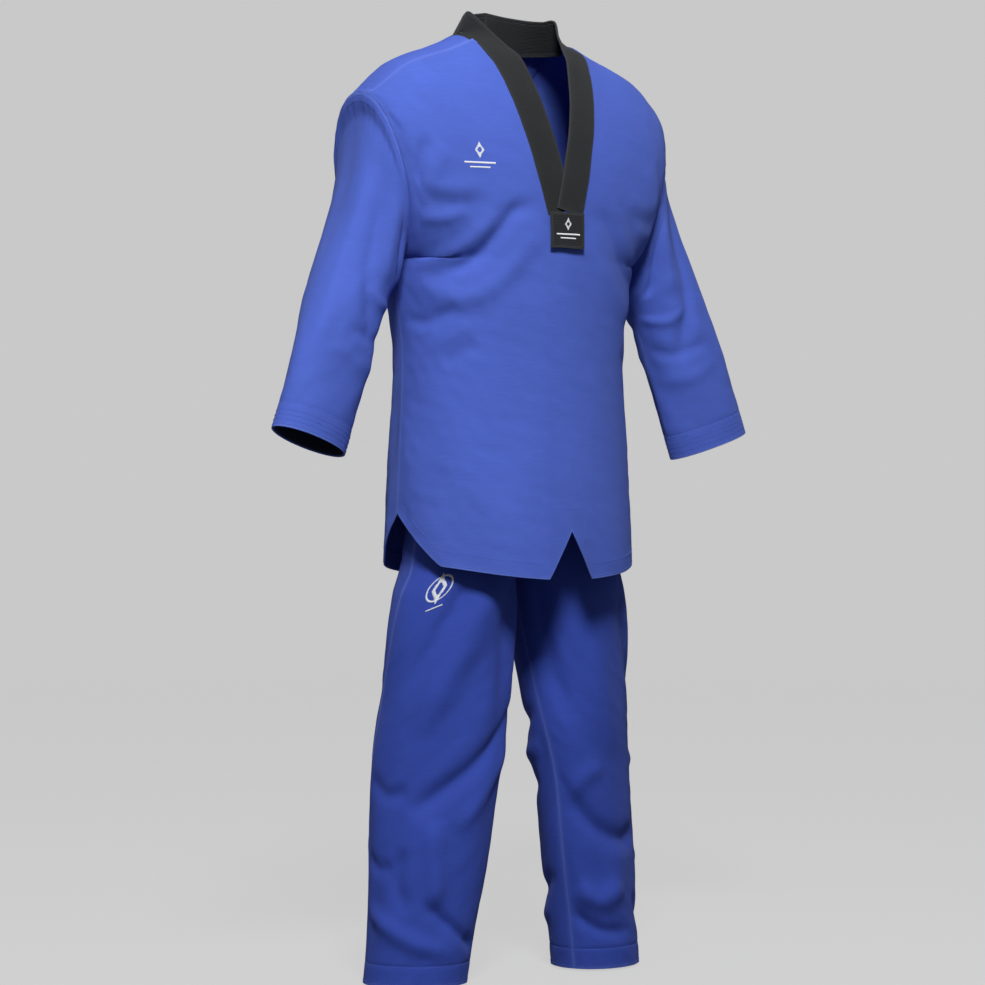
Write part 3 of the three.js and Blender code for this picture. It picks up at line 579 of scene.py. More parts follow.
def body_field(side, strokes):
    def field(a, q):
        z = body_point(side, a, q)[..., 2]
        s = np.degrees(a) * PER_DEGREE
        hanging = smooth(1.05 - z, 0, 0.35)
        rise = fold_field(strokes, s, z)
        rise = rise + body_ripple(s * (1.0 if side == FRONT else 1.3), z) * (0.45 + 0.9 * hanging)
        rise = rise + fine_ripple(s, z)
        near = np.exp(-(QUARTER - np.abs(a)) / 0.07) * smooth(z, 1.03, 1.06)
        rise = rise + near * PUCKER * np.sin(z * 2 * math.pi / PUCKER_PITCH + 2 * np.sin(z * 40))
        sewn = smooth(QUARTER - np.abs(a), 0.0, 0.12)
        return rise * mix(0.12, 1.0, sewn)
    return field


front = Shell(lambda a, q: body_point(FRONT, a, q), body_field(FRONT, front_strokes))
back = Shell(lambda a, q: body_point(BACK, a, q), body_field(BACK, back_strokes), flip=-1)


def front_at(x, height):
    """(angle, row) of the front at a given x and height above the armpit."""
    low, high = np.ones(np.broadcast(x, height).shape), np.full(np.broadcast(x, height).shape, 2.0)
    for _ in range(22):
        q = (low + high) / 2
        reach = ARMHOLE_OUT - ARMHOLE_RADIUS * math.sin(ARMHOLE_LEAN) \
            * np.cos(np.interp(q - 1, _walked, _walk) * math.pi)
        a = np.arcsin(np.clip(x / reach, -1, 1))
        under = body_point(FRONT, a, q)[..., 2] < height
        low, high = np.where(under, q, low), np.where(under, high, q)
    return a, (low + high) / 2


def seam_line(height):
    return V_BOTTOM_HALF_WIDTH + (height - V_BOTTOM) * (NECK_HALF_WIDTH - V_BOTTOM_HALF_WIDTH) \
        / (NECK_HEIGHT - V_BOTTOM)


def shoulder_seam(a):
    """Row of the shoulder seam, which lies a little forward of the ridge."""
    return row_of_rise(0.975 - 0.045 * np.abs(np.sin(a)))


TUCK = 0.005      # how far a panel runs on inside the collar band
SIDE_GAP, CHEST_REACH = 0.0006, 0.205
columns = np.linspace(-QUARTER + SIDE_GAP, QUARTER - SIDE_GAP, 147)
# Columns move onto the corners of the notch and of the V.
for corner in (NOTCH_HALF_WIDTH / HEM_HALF_WIDTH, (V_BOTTOM_HALF_WIDTH - 0.004) / CHEST_REACH):
    for sign in (-1, 1):
        columns[np.argmin(np.abs(columns - sign * math.asin(corner)))] = sign * math.asin(corner)


def hem_row(side, a):
    deep = HEM_DEPTH[side] * np.cos(a)
    level = HEM_HEIGHT + HEM_CURVE * np.sin(a) ** 2
    low = np.maximum(level, CORNER_HIGH - (deep + 0.001) * CORNER_SLOPE[side])
    if side == FRONT:
        x = np.abs(HEM_HALF_WIDTH * np.sin(a))
        low = np.maximum(low, HEM_HEIGHT + NOTCH_HEIGHT * (1 - x / NOTCH_HALF_WIDTH))
    return row_of_height(low)


def neck_row(side, a, last):
    """The row where each column meets the neck opening, or last where it doesn't."""
    found = last.copy()
    scan = 1 + (last[None] - 1) * np.linspace(0, 1, 1500)[:, None]
    p = body_point(side, np.broadcast_to(a, scan.shape), scan)
    x, y, z = np.abs(p[..., 0]), p[..., 1], p[..., 2]
    lean = 0.5 * STAND_LEAN * np.clip((z - STAND_BASE) / (STAND_TOP - STAND_BASE), 0, 1)
    inside = (x / (NECK_HALF_WIDTH - TUCK / 2 - lean)) ** 2 \
        + (y / (NECK_HALF_DEPTH - TUCK / 2 - lean)) ** 2 < 1
    inside &= z > 1.2
    if side == FRONT:
        inside |= (z > V_BOTTOM + TUCK) & (x < seam_line(z) - TUCK) & (z < NECK_HEIGHT + 0.03)
    first = inside.argmax(axis=0)
    hit = inside.any(axis=0)
    found[hit] = scan[first[hit], np.nonzero(hit)[0]]
    return found


def panel_grid(side, rows):
    """(angle, row) of a panel. In front the rows are level up to the armpit."""
    last = shoulder_seam(columns) if side == FRONT else 4 - shoulder_seam(columns)
    top = neck_row(side, columns, last)
    low = hem_row(side, columns)
    if side == BACK:
        t = np.linspace(0, 1, rows)[:, None]
        return np.broadcast_to(columns, (rows, len(columns))), mix(low, top, t)
    armpit = 1.0
    below = round(rows * 0.66)
    t = np.linspace(0, 1, below, endpoint=False)[:, None]
    s = np.linspace(0, 1, rows - below)[:, None]
    return (np.broadcast_to(columns, (rows, len(columns))),
            np.concatenate([mix(low, armpit, t), mix(armpit, top, s)]))


a, q = panel_grid(FRONT, 190)
jacket_front = cloth_sheet("jacket_front", front, a, q, CLOTH, jacket_cloth)
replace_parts(jacket_front, "front_panel", "front_tail")
a, q = panel_grid(BACK, 190)
jacket_back = cloth_sheet("jacket_back", back, a, q, CLOTH, jacket_cloth)
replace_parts(jacket_back, "back_panel", "back_tail")


def sub_sheet(name, shell, us, vs, material, lift=None, thickness=TRIM):
    """A trim piece inside the cloth, in place of the CAD node of that name."""
    if lift is None:
        lift = -CLOTH / 2 - GAP - thickness / 2
    made = cloth_sheet(f"{name}_cloth", shell, *np.meshgrid(us, vs), thickness, material, lift)
    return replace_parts(made, name)


def row_line(side, above):
    """The rows of a line that runs a given distance above the hem's edge."""
    return hem_row(side, columns) + above / (ARMPIT_HEIGHT - HEM_HEIGHT)


corner_turn, notch_turn = 7 / 12 * QUARTER, 3 / 12 * QUARTER
hem_steps = np.linspace(0.0006, HEM_FACING, 7) / (ARMPIT_HEIGHT - HEM_HEIGHT)


def hem_facing(name, shell, side, low, high, count):
    a = np.linspace(low, high, count)
    a, steps_up = np.meshgrid(a, hem_steps)
    made = cloth_sheet(f"{name}_cloth", shell, a, hem_row(side, a) + steps_up, TRIM, lining_cloth,
                       -CLOTH / 2 - GAP - TRIM / 2)
    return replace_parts(made, name)


right_front_hem_facing = hem_facing("right_front_hem_facing", front, FRONT, -corner_turn, -notch_turn, 40)
left_front_hem_facing = hem_facing("left_front_hem_facing", front, FRONT, notch_turn, corner_turn, 40)
back_hem_facing = hem_facing("back_hem_facing", back, BACK, -corner_turn, corner_turn, 100)
notch_facing = sub_sheet("notch_facing", front, np.linspace(-QUARTER / 12, QUARTER / 12, 12),
                         row_of_height(np.linspace(HEM_HEIGHT + NOTCH_HEIGHT + 0.002, SLIT_TOP - 0.002, 10)),
                         lining_cloth)

slit_tacks = []
for sign, label in ((1, "left"), (-1, "right")):
    half_turn = 0.009 / 0.14
    tack = sub_sheet(f"{label}_slit_tack", back,
                     np.sort(sign * np.linspace(QUARTER - 0.002, QUARTER - 0.002 - 2 * half_turn, 9)),
                     row_of_height(np.linspace(SLIT_TOP + 0.002, SLIT_TOP + 0.02, 9)), lining_cloth,
                     lift=-CLOTH / 2 - 5 * GAP - TRIM / 2)
    slit_tacks.append(tack)


# ---------------- sleeves ----------------

armhole_centre = np.array([ARMHOLE_OUT, 0, ARMHOLE_HEIGHT])
sleeve_down = np.array([math.sin(SLEEVE_ANGLE), 0, -math.cos(SLEEVE_ANGLE)])


def sleeve_point(u, v):
    """u turns about the arm in half turns from the outer side, in front below 0; v is 0 at the cuff."""
    u, v = np.broadcast_arrays(np.asarray(u, float), np.asarray(v, float))
    settle = smooth(v, 0.45, 1)
    tilt = mix(SLEEVE_ANGLE, QUARTER - ARMHOLE_LEAN, settle)
    wide = mix(CUFF_HALF_WIDTH, ARMHOLE_RADIUS, settle ** 1.5)
    turn = u * math.pi
    ring_depth = ARMHOLE_RADIUS * np.where(u < 0, ARMHOLE_DEPTH[FRONT], ARMHOLE_DEPTH[BACK])
    deep = mix(CUFF_HALF_DEPTH, ring_depth, smooth(v) ** 1.3)
    # The arm turns forward towards the cuff, and its outer side runs straight from the shoulder.
    cuff = smooth(1 - v, 0.15, 0.9)
    wide = wide + CUFF_SPREAD * cuff
    hollow = np.exp(-((v - 0.78) / 0.19) ** 2) * smooth(1 - v, 0, 0.08)
    deep = deep - CUFF_SPREAD * 0.5 * cuff - SLEEVE_FLATTENING * hollow
    pull = SLEEVE_PULL * hollow * ((1 + np.cos(turn)) / 2) ** 1.5
    centre = armhole_centre + (SLEEVE_LENGTH * (1 - v))[..., None] * sleeve_down
    x, y = wide * np.cos(turn) * np.cos(tilt), deep * np.sin(turn)
    twist = CUFF_TWIST * cuff
    return centre + stack(x * np.cos(twist) + y * np.sin(twist) - pull,
                          y * np.cos(twist) - x * np.sin(twist) - ARM_FORWARD * smooth(1 - v, 0, 0.95),
                          wide * np.cos(turn) * np.sin(tilt))


SLEEVE_FOLDS = [
    ([(-0.066, 0.36), (-0.07, 0.31), (-0.082, 0.25), (-0.112, 0.19), (-0.14, 0.13)], 0.016, -0.007),
    ([(-0.034, 0.34), (-0.036, 0.28), (-0.04, 0.17), (-0.032, 0.08)], 0.017, 0.004),
    ([(-0.1, 0.36), (-0.104, 0.31), (-0.12, 0.245)], 0.012, 0.0034),
    ([(-0.125, 0.375), (-0.135, 0.32), (-0.16, 0.27)], 0.01, -0.0052),
    ([(-0.19, 0.235), (-0.14, 0.215), (-0.09, 0.225)], 0.009, 0.003),
    ([(-0.19, 0.18), (-0.13, 0.16), (-0.07, 0.165)], 0.01, -0.0026),
    ([(-0.185, 0.13), (-0.12, 0.12), (-0.06, 0.132)], 0.011, 0.0018),
    ([(0.07, 0.38), (0.075, 0.3), (0.1, 0.22)], 0.012, -0.0055),
    ([(0.115, 0.375), (0.12, 0.3), (0.15, 0.24)], 0.011, 0.004),
    ([(0.19, 0.215), (0.13, 0.205), (0.06, 0.22)], 0.01, -0.0036),
    ([(0.19, 0.17), (0.12, 0.16), (0.05, 0.175)], 0.011, 0.0026),
    ([(0.01, 0.37), (0.006, 0.3), (0.012, 0.23)], 0.012, -0.0018),
]


def sleeve_field(seed, shift):
    ripple = ripples(seed, 0.08, 0.0016, lean=0.1)
    small = ripples(seed + 1, 0.03, 0.0004, lean=0.8)
    strokes = [([(s, t + shift) for s, t in points], w, d) for points, w, d in SLEEVE_FOLDS]

    def field(u, v):
        s, t = u * 0.2, v * SLEEVE_LENGTH
        rise = fold_field(strokes, s, t) + ripple(s, t) + small(s, t)
        cap = np.exp(-(1 - v) / 0.05) * (0.3 + 0.7 * smooth(np.cos(u * math.pi), -0.6, 0.4))
        rise = rise + cap * 0.001 * np.sin(u * 88 + 1.5 * np.sin(u * 31 + seed))
        rise = rise - 0.0006 * np.exp(-((t - CUFF_FACING) / 0.0025) ** 2)
        loose = smooth(t, 0, 0.05) * smooth(1 - v, 0, 0.06) * smooth(1 - np.abs(u), 0, 0.05)
        return rise * mix(0.25, 1.0, loose)
    return field


sleeves = {}
sleeve_shells = {}
around = np.linspace(-0.9993, 0.9993, 150)
along = np.unique(np.concatenate([np.linspace(0, 1, 104), np.array([33, 35, 37, 39]) / 401]))
for label, mirror, seed, shift in (("left", False, 31, -0.006), ("right", True, 35, 0.0)):
    shell = Shell(sleeve_point, sleeve_field(seed, shift), mirror=mirror)
    sleeve = cloth_sheet(f"{label}_sleeve_cloth", shell, *np.meshgrid(around, along), CLOTH, jacket_cloth)
    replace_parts(sleeve, f"{label}_sleeve")
    # The cuff facings carry the near-black painted shade of the cuff openings.
    facing = sub_sheet(f"{label}_cuff_facing", shell, np.linspace(-0.9993, 0.9993, 110),
                       np.linspace(0.004, CUFF_FACING / SLEEVE_LENGTH, 8), cuff_painted_shade)
    sleeves[label] = (sleeve, facing)
    sleeve_shells[label] = shell


# ---------------- collar ----------------

def collar_edges():
    slope = math.atan((NECK_HALF_WIDTH - V_BOTTOM_HALF_WIDTH) / (NECK_HEIGHT - V_BOTTOM))
    inset = BAND_THICKNESS / 2 + GAP
    seam, free = [], []
    for turn in np.linspace(0, QUARTER, 5):
        across, forward = math.sin(turn), math.cos(turn)
        seam.append(((NECK_HALF_WIDTH - inset) * across, (NECK_HALF_DEPTH - inset) * forward, STAND_BASE))
        free.append(((NECK_HALF_WIDTH - STAND_LEAN - inset) * across,
                     (NECK_HALF_DEPTH - STAND_LEAN / 2) * forward - 0.014 * across,
                     STAND_TOP - 0.014 * across))
    side_free = np.array(free[-1])
    low_heights = [mix(STAND_BASE, V_BOTTOM, step / 6) + 0.004 for step in range(1, 7)]
    x = seam_line(low_heights[0]) - 3 * GAP
    first_free = front.bare(*front_at(np.array([x - BAND_WIDTH * math.cos(slope)]),
                                      np.array([low_heights[0] + BAND_WIDTH * math.sin(slope)])))[0]
    for share, height in ((0.36, 1.362), (0.7, 1.34)):
        x = min(seam_line(height), NECK_HALF_WIDTH) - 3 * GAP
        seam.append(tuple(front.bare(*front_at(np.array([x]), np.array([height])))[0]))
        free.append(tuple(mix(side_free, first_free, share)))
    for height in low_heights:
        x = seam_line(height) - 3 * GAP
        for out, (px, pz) in ((seam, (x, height)),
                              (free, (x - BAND_WIDTH * math.cos(slope),
                                      min(height + BAND_WIDTH * math.sin(slope), SHOULDER_PEAK - 0.025)))):
            at = front_at(np.array([px]), np.array([pz]))
            out.append(tuple(front.bare(*at)[0]))
    return rounded_path(seam, 40), rounded_path(free, 40)


seam_curve, free_curve = collar_edges()
curve_share = np.linspace(0, 1, len(seam_curve))


def band_point(rise):
    def point(u, v):
        u, v = np.broadcast_arrays(np.asarray(u, float), np.asarray(v, float))
        t = np.clip(u, 0, 1)
        seam = np.stack([np.interp(t, curve_share, seam_curve[:, k]) for k in range(3)], -1)
        free = np.stack([np.interp(t, curve_share, free_curve[:, k]) for k in range(3)], -1)
        p = mix(free, seam, v[..., None])
        crown = 0.0018 * np.sin(np.clip(v, 0, 1) * math.pi) * smooth(t, 0.42, 0.6)
        p[..., 1] -= rise * smooth(t, 0.6, 0.78) + crown
        return p
    return point


def band_field(u, v):
    groove = np.exp(-((v - 0.09) / 0.025) ** 2) + np.exp(-((v - 0.91) / 0.025) ** 2)
    wave = 0.0005 * np.sin(u * 41 + 3 * v) * np.sin(u * 13)
    return wave - 0.00035 * groove


band_shells = {
    "left": Shell(band_point(OVERLAP_RISE), band_field, flip=-1),
    "right": Shell(band_point(0.0), band_field, flip=-1, mirror=True),
}
bands = {}
for label, shell in band_shells.items():
    us = np.linspace(0.0012, 1, 240)
    vs = np.array([0, 0.02, 0.05, 0.07, 0.09, 0.11, 0.15, 0.3, 0.5, 0.7,
                   0.85, 0.89, 0.91, 0.93, 0.95, 0.98, 1])
    band = cloth_sheet(f"{label}_collar_band_cloth", shell, *np.meshgrid(us, vs),
                       BAND_THICKNESS, collar_cloth)
    inner = cloth_sheet(f"{label}_collar_interlining_cloth", shell,
                        *np.meshgrid(np.linspace(0.02, 0.98, 90), np.linspace(0.075, 0.94, 6)),
                        INTERLINING, canvas_cloth)
    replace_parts(band, f"{label}_collar_band")
    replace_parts(inner, f"{label}_collar_interlining")
    bands[label] = (band, inner)


# ---------------- patch and embroidery ----------------

def front_map(x, height):
    a, q = front_at(np.asarray(x, float), np.asarray(height, float))
    return front.bare(a, q)


patch_shell = Shell(front_map, lambda x, z: 0.0004 * np.sin(x * 150) * np.sin(z * 90))
PATCH_LIFT = OVERLAP_RISE + BAND_THICKNESS / 2 + 0.0018 + GAP + TRIM / 2
PATCH_LOW, PATCH_HIGH = V_BOTTOM - 0.042, V_BOTTOM + 0.008
lapel_patch = cloth_sheet("lapel_patch_cloth", patch_shell,
                          *np.meshgrid(np.linspace(-V_BOTTOM_HALF_WIDTH, V_BOTTOM_HALF_WIDTH, 25),
                                np.linspace(PATCH_LOW, PATCH_HIGH, 23)), TRIM, collar_cloth, PATCH_LIFT)
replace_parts(lapel_patch, "lapel_patch")


def satin(lines):
    """Runs of thread that fill a shape: (x0, z0, x1, z1) each."""
    return [np.stack([np.linspace(x0, x1, 5), np.linspace(z0, z1, 5)], -1) for x0, z0, x1, z1 in lines]


def diamond(cx, cz, half_width, half_height, pitch, hollow=0.0):
    lines = []
    for z in np.arange(-half_height + pitch, half_height, pitch):
        half = half_width * (1 - abs(z) / half_height)
        core = half_width * hollow * (1 - abs(z) / (half_height * hollow)) if hollow else 0
        if core > pitch:
            lines += [(cx - half, cz + z, cx - core, cz + z), (cx + core, cz + z, cx + half, cz + z)]
        elif half > pitch:
            lines.append((cx - half, cz + z, cx + half, cz + z))
    return lines


def bar(cx, cz, half_width, half_height, pitch):
    return [(x, cz - half_height, x, cz + half_height)
            for x in np.arange(cx - half_width, cx + half_width, pitch)]


def ring(cx, cz, radius, wide, count):
    return [(cx + radius * math.cos(t), cz + radius * math.sin(t),
             cx + (radius + wide) * math.cos(t), cz + (radius + wide) * math.sin(t))
            for t in np.linspace(0, 2 * math.pi, count, endpoint=False)]


def embroidery(name, lines, place):
    runs = np.array(satin(lines))
    paths, sides = place(runs[..., 0], runs[..., 1])
    points, faces = [], []
    for path, normals in zip(paths, sides):
        size = float(np.linalg.norm(path[-1] - path[0]))
        more, more_faces = stitches([(path, normals)], length=size * 0.995, gap=1)
        faces += [tuple(k + len(points) for k in f) for f in more_faces]
        points += more
    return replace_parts(new_object(f"{name}_thread", points, faces, white_thread), name)


PITCH = 0.00062
patch_art = diamond(0, PATCH_LOW + 0.034, 0.006, 0.0095, PITCH, 0.4) \
    + bar(0, PATCH_LOW + 0.0195, 0.02, 0.0014, PITCH) + bar(0, PATCH_LOW + 0.014, 0.013, 0.0012, PITCH)
patch_emblem = embroidery("patch_emblem", patch_art,
                          lambda x, z: patch_shell.place(x, z, PATCH_LIFT + TRIM / 2 + THREAD_LIFT))
CHEST_X, CHEST_Z = -0.134, 1.172
chest_art = diamond(CHEST_X, CHEST_Z + 0.01, 0.0076, 0.012, PITCH, 0.4) \
    + bar(CHEST_X, CHEST_Z - 0.008, 0.023, 0.0017, PITCH) \
    + bar(CHEST_X, CHEST_Z - 0.0145, 0.015, 0.0014, PITCH)


def on_front(x, z):
    return seam_row(front, *front_at(x, z))


chest_emblem = embroidery("chest_emblem", chest_art, on_front)


# ---------------- trousers ----------------

def leg_top(side, part):
    turn = part * math.pi
    y = side * LEG_TOP_HALF * np.sin(turn) - LEG_TOP_FORWARD
    return stack(LEG_TOP_OUT - LEG_TOP_HALF * np.cos(turn), y, HIP_PIVOT - np.sqrt(HIP_RADIUS ** 2 - y ** 2))


def trouser_point(side):
    """part is 0 at the inner seam and 1 at the outer; t is 0 at the hem, 1 at the hips, 2 at the waist."""
    def point(part, t):
        part, t = np.broadcast_arrays(np.asarray(part, float), np.asarray(t, float))
        top = leg_top(side, part)
        height = np.minimum(t, 1) * top[..., 2]
        upper = smooth((height - THIGH_HEIGHT * 0.6) / (top[..., 2] - THIGH_HEIGHT * 0.6))
        shin = height / THIGH_HEIGHT
        wide = mix(mix(LEG_HEM_HALF_WIDTH, THIGH_HALF_WIDTH, smooth(shin, 0, 0.8)), LEG_TOP_HALF, upper)
        deep = mix(mix(LEG_HEM_HALF_DEPTH, THIGH_HALF_DEPTH, smooth(shin)), LEG_TOP_HALF, upper)
        out = np.where(height < THIGH_HEIGHT, mix(LEG_HEM_OUT, THIGH_OUT, shin),
                       mix(THIGH_OUT, LEG_TOP_OUT, (height - THIGH_HEIGHT) / (top[..., 2] - THIGH_HEIGHT)))
        forward = mix(KNEE_FORWARD * np.sin(np.minimum(shin, 1) * QUARTER), LEG_TOP_FORWARD, upper)
        twist = TOE_OUT * (1 - upper)
        turn = part * math.pi
        x, y = -wide * np.cos(turn), side * deep * np.sin(turn)
        hips = np.exp(-((height - 0.53) / 0.09) ** 2) * smooth(top[..., 2] - height, 0, 0.05)
        x = x + HIP_SPREAD * hips * smooth(part, 0.4, 1) \
            + THIGH_TAPER * np.exp(-((height - 0.28) / 0.09) ** 2) * smooth(1 - part, 0.4, 1)
        leg = stack(out + x * np.cos(twist) - y * np.sin(twist),
                    x * np.sin(twist) + y * np.cos(twist) - forward, height)
        rise = np.clip(t - 1, 0, 1)
        settle = smooth(rise, 0, 0.7)
        angle = part * QUARTER
        waist = stack(TROUSER_HALF_WIDTH * np.sin(angle), side * TROUSER_HALF_DEPTH * np.cos(angle), SEAT_TOP)
        seat = mix(top, waist, settle[..., None])
        seat[..., 2] = mix(top[..., 2], SEAT_TOP, rise)
        seat[..., 0] = np.maximum(seat[..., 0] - 0.0038 * smooth(rise, 0, 0.12) * (1 - settle), 0.0002)
        return np.where((t > 1)[..., None], seat, leg)
    return point


# (part, height) points of the folds in each panel, then width and depth.
LEG_FOLDS = {
    ("right", FRONT): [
        ([(0.04, 0.4), (0.34, 0.312), (0.52, 0.272), (0.66, 0.24)], 0.015, -0.0068),
        ([(0.00, 0.35), (0.26, 0.27), (0.42, 0.215)], 0.014, 0.0036),
        ([(0.52, 0.24), (0.5, 0.175), (0.46, 0.105)], 0.014, 0.0062),
        ([(0.66, 0.2), (0.7, 0.15), (0.62, 0.1)], 0.013, -0.0036),
        ([(0.56, 0.125), (0.4, 0.092), (0.2, 0.062), (0.06, 0.05)], 0.009, -0.0052),
        ([(0.97, 0.112), (0.78, 0.088), (0.54, 0.06), (0.26, 0.044)], 0.013, 0.005),
        ([(0.6, 0.58), (0.68, 0.51), (0.82, 0.4)], 0.014, -0.0042),
        ([(0.46, 0.59), (0.54, 0.48), (0.66, 0.35)], 0.02, 0.005),
        ([(0.3, 0.6), (0.3, 0.5), (0.24, 0.38)], 0.014, -0.0026),
        ([(0.16, 0.58), (0.16, 0.47), (0.1, 0.38)], 0.014, 0.0036),
        ([(0.98, 0.3), (0.8, 0.27), (0.66, 0.28)], 0.012, -0.003),
        ([(0.98, 0.185), (0.84, 0.165), (0.74, 0.175)], 0.011, -0.003),
    ],
    ("left", FRONT): [
        ([(0.02, 0.29), (0.22, 0.215), (0.48, 0.188), (0.7, 0.205)], 0.016, -0.007),
        ([(0.04, 0.24), (0.2, 0.285), (0.36, 0.3)], 0.014, 0.003),
        ([(0.06, 0.125), (0.24, 0.102), (0.44, 0.128)], 0.017, 0.0064),
        ([(0.00, 0.09), (0.2, 0.058), (0.5, 0.052)], 0.01, -0.004),
        ([(0.56, 0.11), (0.66, 0.07), (0.8, 0.06)], 0.012, -0.0036),
        ([(0.4, 0.59), (0.38, 0.45), (0.42, 0.3)], 0.024, 0.0046),
        ([(0.66, 0.58), (0.7, 0.47), (0.84, 0.39)], 0.016, -0.0042),
        ([(0.16, 0.59), (0.14, 0.47), (0.18, 0.36)], 0.014, -0.0036),
        ([(0.98, 0.33), (0.8, 0.3), (0.64, 0.312)], 0.012, 0.003),
        ([(0.98, 0.19), (0.84, 0.165), (0.7, 0.15)], 0.012, 0.0036),
    ],
    ("right", BACK): [
        ([(0.02, 0.41), (0.34, 0.37), (0.7, 0.385), (0.98, 0.42)], 0.014, -0.0058),
        ([(0.04, 0.35), (0.36, 0.326), (0.72, 0.34)], 0.013, 0.0044),
        ([(0.2, 0.3), (0.5, 0.28), (0.96, 0.305)], 0.013, -0.0042),
        ([(0.1, 0.16), (0.4, 0.12), (0.8, 0.13)], 0.014, -0.0046),
        ([(0.2, 0.105), (0.5, 0.078), (0.9, 0.09)], 0.013, 0.004),
        ([(0.3, 0.64), (0.36, 0.56), (0.38, 0.45)], 0.02, 0.004),
        ([(0.1, 0.62), (0.24, 0.56), (0.5, 0.52)], 0.016, -0.0046),
    ],
    ("left", BACK): [
        ([(0.02, 0.395), (0.3, 0.36), (0.66, 0.366), (0.98, 0.405)], 0.014, -0.0054),
        ([(0.06, 0.335), (0.4, 0.312), (0.8, 0.33)], 0.013, 0.0044),
        ([(0.14, 0.285), (0.48, 0.262), (0.96, 0.29)], 0.014, -0.004),
        ([(0.06, 0.145), (0.36, 0.112), (0.84, 0.122)], 0.014, -0.0046),
        ([(0.14, 0.092), (0.46, 0.068), (0.92, 0.08)], 0.013, 0.0038),
        ([(0.36, 0.64), (0.4, 0.55), (0.36, 0.44)], 0.02, 0.004),
        ([(0.08, 0.61), (0.22, 0.55), (0.48, 0.51)], 0.016, -0.0044),
    ],
}
PART_WIDTH = 0.27
FOLD_STRENGTH = 1.35


def trouser_field(label, side, seed):
    point = trouser_point(side)
    strokes = [([(p * PART_WIDTH, h) for p, h in points], w, d * FOLD_STRENGTH)
               for points, w, d in LEG_FOLDS[label, side]]
    ripple = ripples(seed, 0.085, 0.002, lean=0.1, stretch=3.5)
    small = ripples(seed + 1, 0.032, 0.0005, lean=0.7)

    def field(part, t):
        height = point(part, t)[..., 2]
        s = part * PART_WIDTH
        rise = fold_field(strokes, s, height) \
            + ripple(s, height) * smooth(height, 0.0, 0.1) + small(s, height)
        rise = rise - 0.0007 * np.exp(-((height - LEG_HEM_FACING) / 0.0025) ** 2)
        loose = smooth(np.minimum(part, 1 - part), 0, 0.05)
        under = smooth(height, 0.6, 0.7)
        gathers = 0.0022 * smooth(height, SEAT_TOP - 0.09, SEAT_TOP - 0.01) * np.sin(s * 2 * math.pi / 0.0135)
        return mix(rise * mix(0.2, 1.0, loose), gathers - 0.0016, under)
    return field


LEG_SEEDS = {("left", FRONT): 51, ("left", BACK): 61, ("right", FRONT): 71, ("right", BACK): 81}
leg_shells, legs = {}, {}
parts = np.linspace(0.0008, 0.9992, 62)
lower = np.unique(np.concatenate([np.linspace(0, 1, 136), np.array([26, 28, 30, 32, 34]) / 598]))
rows = np.concatenate([lower, np.linspace(1, 2, 74)[1:]])
rows[-1] -= 0.001
for label, mirror in (("left", False), ("right", True)):
    for side, name in ((FRONT, "front"), (BACK, "back")):
        shell = Shell(trouser_point(side), trouser_field(label, side, LEG_SEEDS[label, side]),
                      flip=1 if side == FRONT else -1, mirror=mirror)

        def part_seam(p, side=side):
            p = p.copy()
            p[..., 1] += side * GAP / 2
            return p
        leg = cloth_sheet(f"{label}_trouser_{name}", shell, *np.meshgrid(parts, rows), CLOTH, trouser_cloth,
                          final=part_seam)
        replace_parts(leg, f"{label}_leg_{name}")
        if label == "left":
            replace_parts(leg, f"seat_{name}")
        facing = sub_sheet(f"{label}_leg_{name}_hem_facing", shell, np.linspace(0.008, 0.992, 44),
                           np.linspace(0.002, LEG_HEM_FACING / (HIP_PIVOT - HIP_RADIUS), 8), lining_cloth)
        legs[label, side] = (leg, facing)
        leg_shells[label, side] = shell

THIGH_PART, THIGH_Z = 0.755, 0.56
thigh_art = diamond(0, 0.004, 0.011, 0.023, PITCH, 0.42) + ring(0, 0.004, 0.0155, 0.003, 190) \
    + bar(0, -0.0235, 0.011, 0.0013, PITCH)


def on_thigh(x, z):
    top = leg_top(FRONT, THIGH_PART)[2]
    return seam_row(leg_shells["right", FRONT], THIGH_PART - x / PART_WIDTH, (THIGH_Z + z) / top)


thigh_emblem = embroidery("thigh_emblem", thigh_art, on_thigh)


def waist_ring(u, v):
    """u turns once round the waist; v goes up outside (0 to 0.47), over the top and down inside."""
    u, v = np.broadcast_arrays(np.asarray(u, float), np.asarray(v, float))
    turn = u * math.pi - QUARTER
    wall = 0.0021
    over = np.clip((v - 0.47) / 0.06, 0, 1) * math.pi
    up = np.where(v < 0.5, np.minimum(v / 0.47, 1), np.minimum((1 - v) / 0.47, 1))
    out = wall * np.cos(over)
    z = mix(SEAT_TOP + 0.0006, TROUSER_TOP - wall - 0.0005, up) + wall * np.sin(over)
    return stack((TROUSER_HALF_WIDTH + out) * np.cos(turn), (TROUSER_HALF_DEPTH + out) * np.sin(turn), z)


def waist_gathers(u, v):
    channel = np.minimum(np.abs(v - 0.12), np.abs(v - 0.36))
    depth = 0.0005 * (1 - 0.7 * np.exp(-(channel / 0.03) ** 2)) * np.where(v < 0.5, 1.0, -0.6)
    return depth * np.sin(u * 62 * math.pi / 2 + 0.8 * np.sin(u * 17))


waist_shell = Shell(waist_ring, waist_gathers, flip=1)
waistband = cloth_sheet("waistband_cloth", waist_shell,
                        *np.meshgrid(np.linspace(-0.9996, 0.9996, 420), np.concatenate([
                            np.linspace(0, 0.47, 12), np.linspace(0.48, 0.52, 4), np.linspace(0.53, 1, 12)])),
                        0.0009, trouser_cloth)
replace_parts(waistband, "waistband_casing")


